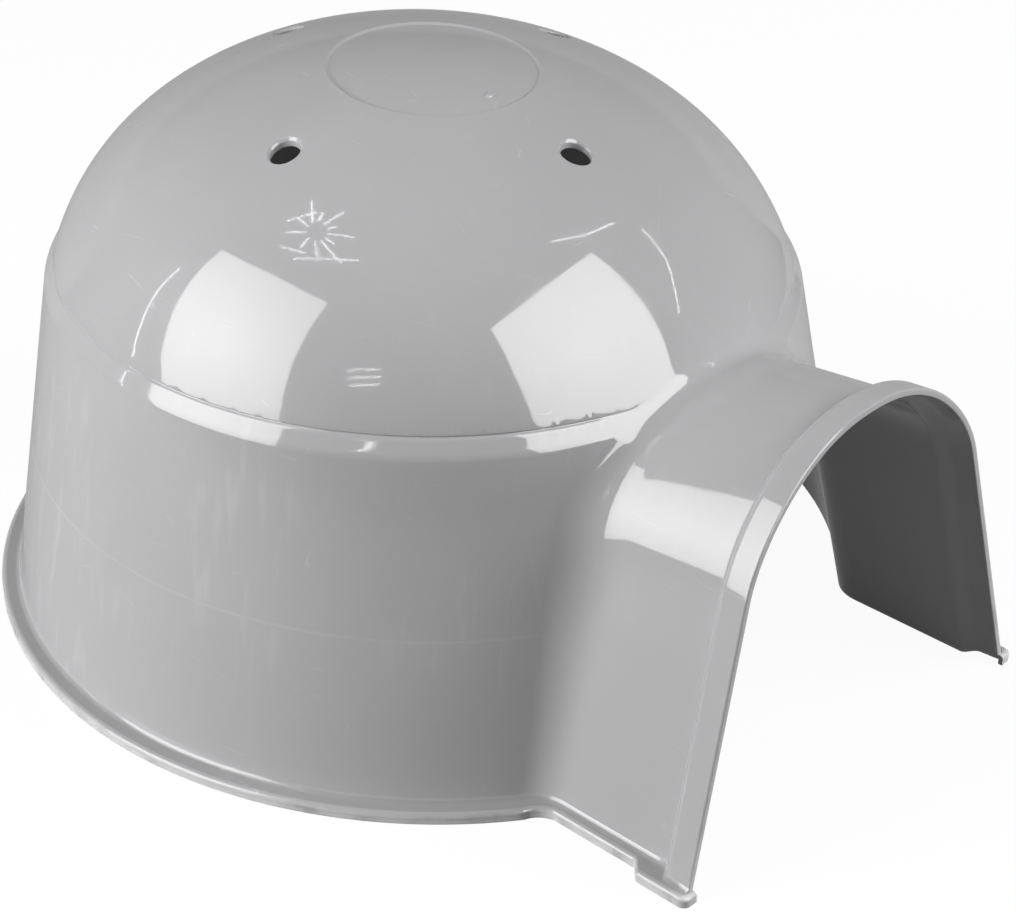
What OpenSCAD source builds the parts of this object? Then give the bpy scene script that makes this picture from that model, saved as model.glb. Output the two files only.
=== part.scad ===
// Rodent igloo: a thin plastic hut with a drafted oval wall, a domed roof and an arched entrance tunnel.
// The origin is the middle of its footprint on the floor. +Z is up and the tunnel opens towards -Y.
// The sections are worked out from the roof's middle line, and every node is then placed from there.

/* [Body] */
// Width of the wall at the floor, across the tunnel
body_w = 229.2; // [200:0.1:280]
// Length of the wall at the floor, along the tunnel
body_l = 242.8; // [215:0.1:290]
// Height of the roof above the floor
body_h = 154.9; // [145:0.1:180]
// Thickness of the moulding
wall_t = 2; // [1.5:0.1:2.8]
// How far the wall leans in between the floor and the shoulder band
wall_lean = 16.7; // [8:0.1:22]

/* [Roof] */
// Height of the groove that the roof starts from
shoulder_h = 98.4; // [90:0.1:108]
// Height of the narrow band under the groove
band_h = 4.5; // [3:0.1:8]
// How far the band leans in
band_lean = 2.6; // [0.5:0.1:4]
// Depth of the groove between the band and the roof
groove = 0.5; // [0.2:0.1:0.9]
// Level at which the roof curve, carried on downwards, would stand upright
spring_h = 32; // [0:1:50]
// How square the roof is towards the shoulder
roof_square = 1.91; // [1.7:0.01:4]
// How flat the roof is towards the crown
roof_crest = 3.44; // [1.7:0.01:4]

/* [Crown and vents] */
// Width of the crown disc across the tunnel
crown_w = 53; // [30:0.1:64]
// Length of the crown disc along the tunnel
crown_l = 56; // [30:0.1:68]
// Distance from the roof's middle line to the middle of the crown disc, towards the tunnel
crown_y = 6.4; // [0:0.1:10]
// How far the crown disc stands below the roof around it
crown_step = 0.6; // [0.2:0.1:1]
// Diameter of the gate mark on the crown disc
gate_d = 3; // [1:0.1:5]
// Distance from the middle of the crown disc to the gate mark
gate_y = 20.1; // [0:0.1:21]
// Height of the gate mark
gate_h = 0.5; // [0.2:0.1:1]
// Diameter of a vent hole
vent_d = 7.8; // [4:0.1:14]
// Width of the eased edge round a vent hole
vent_edge = 0.6; // [0.2:0.1:1.5]
// Width, across the tunnel, of the oval that the vent holes lie on
vent_w = 98.4; // [85:0.1:125]
// Length of that oval along the tunnel
vent_l = 104.2; // [85:0.1:130]
// Distance from the roof's middle line to the middle of that oval, towards the tunnel
vent_y = 3.5; // [0:0.1:6]
// Number of vent holes
vents = 4; // [2:1:8]

/* [Tunnel] */
// Width of the tunnel at the floor
tunnel_w = 125.2; // [100:0.1:140]
// Height of the tunnel's roof at the lip
tunnel_h = 104.8; // [96:0.1:116]
// Height at which the tunnel's sides turn into the arch
arch_h = 75.2; // [62:0.1:80]
// How square the arch is
arch_square = 2.3; // [2:0.01:3]
// How far the tunnel's sides lean in for each millimetre of height
tunnel_draft = 0.27; // [0.15:0.01:0.32]
// How far the tunnel's roof rises for each millimetre towards the lip
roof_rise = 0.13; // [0:0.01:0.15]
// Distance from the roof's middle line to the lip's step
step_y = 141.9; // [137:0.1:170]
// Width of the blend beside the tunnel
blend_side = 9; // [5:0.1:14]
// Width of the blend over the tunnel
blend_top = 5; // [3:0.1:9]

/* [Lip] */
// Length of the lip from its step to the mouth
lip_l = 9.9; // [7:0.1:16]
// Length of the sloping step
lip_ramp = 2.4; // [1:0.1:4]
// How far the lip stands out from the tunnel
lip_step = 3.3; // [2:0.1:6]
// How far the lip opens further at the mouth
lip_flare = 0.6; // [0:0.1:3]
// How far the mouth leans back for each millimetre of height
mouth_lean = 0.024; // [0:0.001:0.08]

/* [Flange] */
// Width of the flange round the body
flange_w = 4.9; // [4:0.1:9]
// Width of the flange beside the tunnel and the lip
flange_side = 2.8; // [2.7:0.1:5]
// How far the flange steps out before the lip
jog_w = 3.5; // [3.4:0.1:6]
// How far behind the lip's step it steps out
jog_y = 6.1; // [4:0.1:10]
// Length of that step of the flange
jog_l = 4.7; // [2:0.1:7]
// Thickness of the flange
flange_t = 1.5; // [1.2:0.1:2.5]
// Height of the skirt at the flange's edge
skirt_h = 3; // [2.5:0.1:6]
// Thickness of the skirt
skirt_t = 1.4; // [1:0.1:1.5]
// Radius of the fillet between the wall and the flange
flange_fillet = 1.2; // [0.5:0.1:2]
// Radius of the skirt's corners, where it turns to run in front of the lip
foot_r = 2.2; // [1.6:0.1:2.2]

/* [Hidden] */
plastic = [0.66, 0.665, 0.675];

// Counts of facets: around the wall, up the roof, and along and across the tunnel
wall_steps = 60;
roof_steps = 11;
side_steps = 2;
spring_steps = 4;
arch_steps = 8;
blend_steps = 5;
corner_steps = 4;
crown_steps = 3;
jog_steps = 4;

// Shares: the groove's part of the way up the roof, the band's part under its rounded edge, and
// where the fillet of the flange bends, sideways and upwards
groove_share = 0.006;
band_share = 0.85;
fillet_in = 0.3;
fillet_on = 0.6;
fillet_up = 0.35;

// The least width of a face on the flange, and the tolerance for heights that meet
sliver = 0.1;
hair = 0.001;

// Levels
band_z = shoulder_h - band_h;
vent_depth = wall_t + vent_d;
ledge_top = skirt_h;
ledge_z = skirt_h - flange_t;
fillet_top = ledge_top + flange_fillet;

// Numbers of the samples up one side of the arch: fillet, spring of the arch, band, shoulder and top
at_fillet = 1;
at_spring = at_fillet + side_steps;
at_band = at_spring + spring_steps;
at_shoulder = at_band + 1;
at_top = at_shoulder + arch_steps;

function mix(a, b, t) = a + (b - a) * t;
function unit(v) = v / norm(v);
function root(lo, hi, goal, d, tries = 24) =
    let (mid = (lo + hi) / 2)
    tries == 0 ? mid
        : roof_side(mid, d)[2] < goal ? root(mid, hi, goal, d, tries - 1)
        : root(lo, mid, goal, d, tries - 1);

// The body: half its size at a height, for the outside (d = 0) or the inside (d = wall_t)
function lean_in(z) =
    z <= band_z ? wall_lean * z / band_z : wall_lean + band_lean * (z - band_z) / band_h;
function roof_share(z, d) =
    let (rise = body_h - d - spring_h,
        here = min(1, (z - spring_h) / rise),
        low = (shoulder_h - spring_h) / rise)
    pow((1 - pow(here, roof_crest)) / (1 - pow(low, roof_crest)), 1 / roof_square);
function half(size, z, d) =
    z <= shoulder_h ? size / 2 - lean_in(z) - d
        : (size / 2 - wall_lean - band_lean - d) * roof_share(z, d);
function body_point(turn, z, d) =
    [half(body_w, z, d) * sin(turn), -half(body_l, z, d) * cos(turn), z];
function body_y(x, z, d) = -half(body_l, z, d) * sqrt(1 - pow(x / half(body_w, z, d), 2));
function body_turn(p, d) = asin(p[0] / half(body_w, p[2], d));
function body_normal(p, d) =
    let (e = 0.01,
        a = half(body_w, p[2], d),
        b = half(body_l, p[2], d),
        da = (half(body_w, p[2] + e, d) - a) / e,
        db = (half(body_l, p[2] + e, d) - b) / e)
    unit([p[0] / pow(a, 2), p[1] / pow(b, 2),
        -pow(p[0], 2) * da / pow(a, 3) - pow(p[1], 2) * db / pow(b, 3)]);

// The tunnel's section: share s runs from the floor, 0, to the crown of the arch, 1
arch_start = 0.5;
function arch_turn(s) = 90 * max(0, s - arch_start) / (1 - arch_start);
function arch_point(s, grow) =
    let (top = tunnel_h + grow,
        turn = arch_turn(s),
        z = s <= arch_start ? arch_h * s / arch_start : arch_h + (top - arch_h) * sin(turn))
    [(tunnel_w / 2 + grow - tunnel_draft * z) * pow(cos(turn), 2 / arch_square), z];
function rise_share(z) = roof_rise * pow(z / tunnel_h, 2);
function along(p, y) = [p[0], y, p[1] + rise_share(p[1]) * (-y - step_y)];
function meet_body(p, d, y, tries = 6) =
    let (q = along(p, y),
        next = body_y(q[0], q[2], d))
    tries == 0 ? along(p, next) : meet_body(p, d, next, tries - 1);

// Where the blend leaves the body, its middle control point, and where it joins the tunnel
function blend_width(s) = mix(blend_side, blend_top, sin(arch_turn(s)));
function roof_side(s, d) =
    let (turn = arch_turn(s))
    meet_body(arch_point(s, -d) + blend_width(s) * [cos(turn), sin(turn)], d, -body_l / 2);
function blend_control(s, d) =
    let (p = arch_point(s, -d),
        b = roof_side(s, d),
        n = body_normal(b, d),
        k = rise_share(p[1]),
        still = along(p, 0),
        y = (n[1] * b[1] - n[0] * (p[0] - b[0]) - n[2] * (still[2] - b[2])) / (n[1] - n[2] * k))
    along(p, y);
function tunnel_side(s, d) =
    let (c = blend_control(s, d))
    along(arch_point(s, -d), c[1] - norm(c - roof_side(s, d)));
function curve(a, b, c, t) = a * pow(1 - t, 2) + b * 2 * t * (1 - t) + c * pow(t, 2);
function blend_point(s, d, t) = curve(roof_side(s, d), blend_control(s, d), tunnel_side(s, d), t);
function mouth_point(s, d, grow, reach) =
    let (p = arch_point(s, grow - d))
    [p[0], -step_y - reach + mouth_lean * p[1], p[1]];

// Shares of the samples up the arch. The band and the groove end at samples of their own.
function share_at(z) = arch_start * z / arch_h;
function shares(d) =
    let (low = share_at(fillet_top),
        band = root(arch_start, 1, band_z, d),
        shoulder = root(band, 1, shoulder_h, d))
    [share_at(ledge_z),
        for (i = [0 : side_steps - 1]) mix(low, arch_start, i / side_steps),
        for (i = [0 : spring_steps]) mix(arch_start, band, i / spring_steps),
        for (i = [0 : arch_steps]) mix(shoulder, 1, i / arch_steps)];
outer = shares(0);
inner = shares(wall_t);
function share(i, d) = d == 0 ? outer[i] : inner[i];

// A strip over the tunnel runs up one side and down the other
over = [for (i = [0 : at_top]) i, for (i = [at_top - 1 : -1 : 0]) i];
function flip(p, on) = on ? [-p[0], p[1], p[2]] : p;
function mirrored(i) = i > at_top;

// A skin is a sheet of points outside and another inside, closed round its edges into one solid
module skin(out, in, ring = false) {
    rows = len(out);
    cols = len(out[0]);
    span = ring ? cols : cols - 1;
    n = rows * cols;
    points = [for (sheet = [out, in]) for (row = sheet) for (p = row) p];
    function at(sheet, j, i) = sheet * n + j * cols + i % cols;
    function quad(a, b, c, d) = [[a, b, c], [a, c, d]];
    faces = [
        for (j = [0 : rows - 2]) for (i = [0 : span - 1]) each concat(
            quad(at(0, j, i), at(0, j + 1, i), at(0, j + 1, i + 1), at(0, j, i + 1)),
            quad(at(1, j, i), at(1, j, i + 1), at(1, j + 1, i + 1), at(1, j + 1, i))),
        for (i = [0 : span - 1]) each concat(
            quad(at(0, 0, i), at(0, 0, i + 1), at(1, 0, i + 1), at(1, 0, i)),
            quad(at(0, rows - 1, i), at(1, rows - 1, i), at(1, rows - 1, i + 1), at(0, rows - 1, i + 1))),
        if (!ring) for (j = [0 : rows - 2]) each concat(
            quad(at(0, j, 0), at(1, j, 0), at(1, j + 1, 0), at(0, j + 1, 0)),
            quad(at(0, j, span), at(0, j + 1, span), at(1, j + 1, span), at(1, j, span)))
    ];
    polyhedron(points, faces);
}

// A lens is a round sheet outside and another inside, each closed by its middle point
module lens(out, in, out_middle, in_middle) {
    rows = len(out);
    cols = len(out[0]);
    n = rows * cols + 1;
    points = concat([for (row = out) for (p = row) p], [out_middle],
        [for (row = in) for (p = row) p], [in_middle]);
    function at(sheet, j, i) = sheet * n + j * cols + i % cols;
    faces = [
        for (j = [0 : rows - 2]) for (i = [0 : cols - 1]) each [
            [at(0, j, i), at(0, j + 1, i), at(0, j + 1, i + 1)],
            [at(0, j, i), at(0, j + 1, i + 1), at(0, j, i + 1)],
            [at(1, j, i), at(1, j, i + 1), at(1, j + 1, i + 1)],
            [at(1, j, i), at(1, j + 1, i + 1), at(1, j + 1, i)]],
        for (i = [0 : cols - 1]) each [
            [at(0, rows - 1, i), n - 1, at(0, rows - 1, i + 1)],
            [at(1, rows - 1, i), at(1, rows - 1, i + 1), 2 * n - 1],
            [at(0, 0, i), at(0, 0, i + 1), at(1, 0, i + 1)],
            [at(0, 0, i), at(1, 0, i + 1), at(1, 0, i)]]
    ];
    polyhedron(points, faces);
}

// A sweep carries a closed section, given as one ring of points at each place, along its path
module sweep(rings) {
    cols = len(rings[0]);
    last = len(rings) - 1;
    function at(j, i) = j * cols + i % cols;
    polyhedron([for (ring = rings) for (p = ring) p], [
        for (j = [0 : last - 1]) for (i = [0 : cols - 1]) each [
            [at(j, i), at(j + 1, i + 1), at(j + 1, i)],
            [at(j, i), at(j, i + 1), at(j + 1, i + 1)]],
        [for (i = [cols - 1 : -1 : 0]) i],
        [for (i = [0 : cols - 1]) at(last, i)]
    ]);
}

// Columns of the wall: turn runs from the blend on the right, round the back, to the blend on the left
function wall_turn(first, k) = mix(first, 360 - first, k / wall_steps);
function wall_row(i, d, cut = 0) =
    let (b = roof_side(share(i, d), d),
        first = body_turn(b, d))
    [for (k = [0 : wall_steps]) body_point(wall_turn(first, k), b[2], d + (k % wall_steps == 0 ? 0 : cut))];

// Columns of the roof, each a turn and the height where it ends, on the groove or on the blend
function roof_columns(d) =
    let (ends = [for (i = [at_shoulder : at_top]) roof_side(share(i, d), d)],
        first = body_turn(ends[0], d))
    concat(
        [for (i = [arch_steps : -1 : 0]) [body_turn(ends[i], d), ends[i][2]]],
        [for (k = [1 : wall_steps - 1]) [wall_turn(first, k), shoulder_h + hair]],
        [for (i = [0 : arch_steps - 1]) [360 - body_turn(ends[i], d), ends[i][2]]]);
function roof_point(p, d) =
    let (a = body_w / 2 - wall_lean - band_lean - d,
        b = body_l / 2 - wall_lean - band_lean - d,
        rise = body_h - d - spring_h,
        low = pow((shoulder_h - spring_h) / rise, roof_crest),
        out = pow(norm([p[0] / a, p[1] / b]), roof_square))
    [p[0], p[1], spring_h + rise * pow(1 - (1 - low) * out, 1 / roof_crest)];
function crown_ring(share) = [for (c = roof_columns(0))
    [share * crown_w / 2 * sin(c[0]), -crown_y - share * crown_l / 2 * cos(c[0])]];
function roof_rows(d) =
    let (columns = roof_columns(d),
        rim = crown_ring(1))
    [for (j = [0 : roof_steps])
        [for (i = [0 : len(columns) - 1])
            let (c = columns[i],
                low = body_point(c[0], c[1], d),
                in_groove = c[1] < shoulder_h + 2 * hair && j == 0 && d == 0,
                share = j == 0 ? 0 : 1 - (1 - groove_share) * cos(90 * (j - 1) / (roof_steps - 1)))
            j == 0 ? low - (in_groove ? groove : 0) * [sin(c[0]), -cos(c[0]), 0]
                : roof_point(mix([low[0], low[1]], rim[i], share), d)]];

// The foot of the wall at a level of the arch, from the mouth's right side round the back to its left side.
// Each place on it has its point, and the way and the width that the flange goes out there.
rounded = [for (i = [0 : corner_steps]) 90 * i / corner_steps];
foot_in = foot_r - skirt_t;
reaches = concat(
    [for (turn = rounded) lip_l - foot_in * (1 - cos(turn))],
    [lip_ramp, 0],
    [for (i = [0 : jog_steps]) jog_l * (0.5 - i / jog_steps) - jog_y]);
side_widths = concat(
    [for (i = [0 : corner_steps])
        flange_side + jog_w - lip_grow(reaches[i]) - foot_in * (1 - sin(rounded[i]))],
    [flange_side + jog_w - lip_step, flange_side + jog_w],
    [for (i = [0 : jog_steps]) flange_side + jog_w * (1 + cos(180 * i / jog_steps)) / 2]);
blend_shares = [for (i = [blend_steps : -1 : 1]) i / blend_steps];
function lip_grow(reach) =
    reach > 0 ? lip_step + lip_flare * (reach - lip_ramp) / (lip_l - lip_ramp) : 0;
function backwards(list) = [for (i = [len(list) - 1 : -1 : 0]) list[i]];
function foot_line(s) =
    let (right = concat(
            [for (reach = reaches) mouth_point(s, 0, lip_grow(reach), reach)],
            [for (t = blend_shares) blend_point(s, 0, t)]),
        b = roof_side(s, 0),
        first = body_turn(b, 0))
    concat(
        right,
        [for (k = [0 : wall_steps]) body_point(wall_turn(first, k), b[2], 0)],
        [for (p = backwards(right)) flip(p, true)]);
right_widths = concat(side_widths, [for (t = blend_shares) mix(flange_w, flange_side, t)]);
widths = concat(right_widths, [for (k = [0 : wall_steps]) flange_w], backwards(right_widths));
function side_normal(a, b) =
    let (d = unit([b[0] - a[0], b[1] - a[1]]))
    [d[1], -d[0], 0];
function corner_normal(line, i) =
    let (n0 = side_normal(line[i - 1], line[i]),
        n1 = side_normal(line[i], line[i + 1]))
    (n0 + n1) / (1 + n0 * n1);
function way_out(line, i) =
    i < len(reaches) ? [1, 0, 0]
        : i >= len(line) - len(reaches) ? [-1, 0, 0]
        : corner_normal(line, i);
foot = foot_line(share_at(ledge_z));
foot_above = foot_line(share_at(fillet_top));
// The skirt hangs from the outer part of the flange
function inside(i) = max(sliver, widths[i] - skirt_t);
// The middle of the footprint, behind the mouth
middle_y = (foot[0][1] - skirt_t + half(body_l, ledge_z, 0) + flange_w) / 2;
function lift(p, z) = [p[0], p[1], z];
// The skirt runs round the flange, turns at the foot's corner and ends in front of the lip
function skirt_ring(p, n, in, out) =
    let (ease = (out - in) / 4)
    [lift(p + in * n, 0), lift(p + out * n, 0), lift(p + out * n, skirt_h - ease),
        lift(p + (out - ease) * n, skirt_h), lift(p + in * n, skirt_h)];
corner = foot[corner_steps] + [widths[corner_steps] - foot_r, 0, 0];
toe = concat(
    [skirt_ring([foot[0][0] - wall_t, corner[1]], [0, -1], foot_in, foot_r)],
    [for (turn = rounded) skirt_ring([corner[0], corner[1]], [sin(turn), -cos(turn)], foot_in, foot_r)]);

// A vent goes straight down, and its edge is eased square to the roof
module vent_cut(turn) {
    p = roof_point([sin(turn) * vent_w / 2, -vent_y - cos(turn) * vent_l / 2], 0);
    n = body_normal(p, 0);
    translate([p[0], p[1], p[2] - vent_depth]) cylinder(d = vent_d, h = 2 * vent_depth, $fn = 48);
    translate(p) rotate([0, acos(n[2]), atan2(n[1], n[0])]) translate([0, 0, -vent_edge])
        cylinder(d1 = vent_d, d2 = vent_d + 4 * vent_edge, h = 2 * vent_edge, $fn = 48);
}

module dome_cap() {
    color(plastic)
    difference() {
        skin(roof_rows(0), roof_rows(wall_t), ring = true);
        for (i = [0 : vents - 1]) vent_cut(360 * i / vents);
    }
}

module crown_disc() {
    function sheet(d) = [for (j = [0 : crown_steps - 1])
        [for (p = crown_ring(1 - j / crown_steps)) lift(roof_point(p, d), roof_point(p, d)[2] - crown_step)]];
    function middle(d) = roof_point([0, -crown_y], d) - [0, 0, crown_step];
    gate = roof_point([0, -crown_y - gate_y], 0);
    color(plastic) {
        lens(sheet(0), sheet(wall_t), middle(0), middle(wall_t));
        translate(gate - [0, 0, crown_step + gate_h]) cylinder(d = gate_d, h = 2 * gate_h, $fn = 32);
    }
}

module shoulder_band() {
    function rows(d, cut) =
        let (low = wall_row(at_band, d),
            high = wall_row(at_shoulder, d))
        [low,
            [for (k = [0 : wall_steps]) mix(low[k], high[k], band_share)],
            wall_row(at_shoulder, d, cut)];
    color(plastic) skin(rows(0, groove), rows(wall_t, 0));
}

module side_wall() {
    function rows(d) = [for (i = [0 : at_band]) wall_row(i, d)];
    color(plastic) skin(rows(0), rows(wall_t));
}

module tunnel_blend() {
    function rows(d) = [for (j = [0 : blend_steps]) [for (k = [0 : 2 * at_top])
        flip(blend_point(share(over[k], d), d, j / blend_steps), mirrored(k))]];
    color(plastic) skin(rows(0), rows(wall_t));
}

module entrance_tunnel() {
    function rows(d) = [
        [for (k = [0 : 2 * at_top]) flip(tunnel_side(share(over[k], d), d), mirrored(k))],
        [for (k = [0 : 2 * at_top]) flip(mouth_point(share(over[k], d), d, 0, 0), mirrored(k))]];
    color(plastic) skin(rows(0), rows(wall_t));
}

module entrance_lip() {
    // The wall keeps its thickness through the step, so its bends lie further out on the inside
    set = wall_t * tan(atan(lip_step / lip_ramp) / 2);
    function row(d, grow, reach) = [for (k = [0 : 2 * at_top])
        flip(mouth_point(share(over[k], d), d, grow, reach), mirrored(k))];
    outside = [
        row(0, 0, 0),
        row(0, lip_step / 2, lip_ramp / 2),
        row(0, lip_step, lip_ramp),
        row(0, lip_step + lip_flare, lip_l)];
    inside = [
        row(wall_t, 0, 0),
        row(wall_t, 0, set),
        row(wall_t, lip_step, lip_ramp + set),
        row(wall_t, lip_step + lip_flare, lip_l)];
    color(plastic) skin(outside, inside);
}

module base_flange() {
    color(plastic) sweep([for (i = [0 : len(foot) - 1])
        let (n = way_out(foot, i),
            wide = inside(i),
            p = foot[i],
            near = min(flange_fillet, wide))
        [lift(p, ledge_z), lift(p + wide * n, ledge_z), lift(p + wide * n, ledge_top),
            lift(p + near * n, ledge_top),
            lift(mix(p, foot_above[i], fillet_on) + fillet_in * near * n,
                mix(ledge_top, fillet_top, fillet_up)),
            lift(foot_above[i], fillet_top)]]);
}

module rim_skirt() {
    color(plastic) sweep(concat(
        toe,
        [for (i = [corner_steps + 1 : len(foot) - corner_steps - 2])
            skirt_ring(foot[i], way_out(foot, i), inside(i), widths[i])],
        [for (ring = backwards(toe)) [for (p = ring) flip(p, true)]]));
}

module placed() {
    translate([0, -middle_y, 0]) children();
}

placed() dome_cap();
placed() crown_disc();
placed() shoulder_band();
placed() side_wall();
placed() tunnel_blend();
placed() entrance_tunnel();
placed() entrance_lip();
placed() base_flange();
placed() rim_skirt();
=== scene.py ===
"""A rodent igloo: one thin grey moulding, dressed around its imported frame. Sizes are in millimetres, +Z is up."""

import logging
import math
from dataclasses import dataclass, field
from enum import Enum
from functools import partial, reduce

import bmesh
import bpy
import numpy as np
from mathutils import Matrix, Vector
from mathutils.geometry import delaunay_2d_cdt


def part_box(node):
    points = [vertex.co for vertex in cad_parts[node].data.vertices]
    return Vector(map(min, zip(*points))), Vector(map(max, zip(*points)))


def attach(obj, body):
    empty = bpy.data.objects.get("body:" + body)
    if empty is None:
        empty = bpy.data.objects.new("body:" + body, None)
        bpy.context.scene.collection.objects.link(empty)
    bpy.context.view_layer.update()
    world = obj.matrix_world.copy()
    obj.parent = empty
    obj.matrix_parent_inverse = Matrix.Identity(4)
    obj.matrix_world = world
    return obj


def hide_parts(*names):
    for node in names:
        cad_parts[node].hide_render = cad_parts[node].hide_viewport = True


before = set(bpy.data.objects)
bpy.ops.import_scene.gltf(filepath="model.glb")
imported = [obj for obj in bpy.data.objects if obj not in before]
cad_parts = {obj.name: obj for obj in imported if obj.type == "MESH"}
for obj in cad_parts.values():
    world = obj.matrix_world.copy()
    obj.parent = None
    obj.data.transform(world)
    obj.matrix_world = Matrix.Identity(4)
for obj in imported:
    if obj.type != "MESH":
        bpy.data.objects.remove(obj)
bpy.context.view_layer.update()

LOG = logging.getLogger("igloo")
Array = np.ndarray
Socket = bpy.types.NodeSocket
Material = bpy.types.Material

MM = 0.001
FULL_TURN = 2 * math.pi
QUARTER_TURN = math.pi / 2
WHITE = (1.0, 1.0, 1.0, 1.0)


class Face(Enum):
    """Which side of the moulding a sheet is."""

    OUTSIDE = 0
    INSIDE = 1


class Shading(Enum):
    """How the faces of a patch are shaded. Patches of one smooth kind share their normals where they meet."""

    FLAT = 0
    SKIN = 1
    VENT = 2


def smooth_step(share: Array) -> Array:
    """Eases a share from 0 to 1."""
    share = np.clip(share, 0.0, 1.0)
    return share * share * (3.0 - 2.0 * share)


def rounding(kink: float, value: Array, place: float, reach: float) -> Array:
    """What a line that bends at a place gains when the bend is rounded over a reach to either side."""
    return kink * np.maximum(0.0, reach - np.abs(value - place)) ** 2 / (4.0 * reach)


def notch(value: Array, place: float, width: float) -> Array:
    """A v-shaped notch, 1 deep at its place and 0 from a width away."""
    return np.maximum(0.0, 1.0 - np.abs(value - place) / width)


def full_turn(count: int) -> Array:
    """Turns all the way round, in radians."""
    return np.linspace(0.0, FULL_TURN, count, endpoint=False)


def quarter_turn(steps: int) -> Array:
    """Turns from 0 to a right angle, in radians."""
    return np.linspace(0.0, QUARTER_TURN, steps + 1)


def even_shares(steps: int) -> Array:
    """Shares from 0 to 1."""
    return np.linspace(0.0, 1.0, steps + 1)


def flat(x: Array, y: Array) -> Array:
    """Joins two arrays of coordinates into points of a plane."""
    return np.stack([x, y], axis=-1)


def stack(x: Array, y: Array, z: Array) -> Array:
    """Joins three arrays of coordinates into one array of points."""
    return np.stack(np.broadcast_arrays(x, y, z), axis=-1).astype(float)


def away(points: Array, place: Array) -> Array:
    """How far points of the plan lie from a place."""
    return np.hypot(*(points - place).T)


def mirror(points: Array) -> Array:
    """The same points on the other side of the tunnel's middle plane."""
    return points * np.array([-1.0, 1.0, 1.0])


def both_sides(rows: Array) -> Array:
    """Carries samples from the right foot up to the crown of the arch on down to the left foot."""
    return np.concatenate([rows, mirror(rows[-2::-1])], axis=0)


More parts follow.
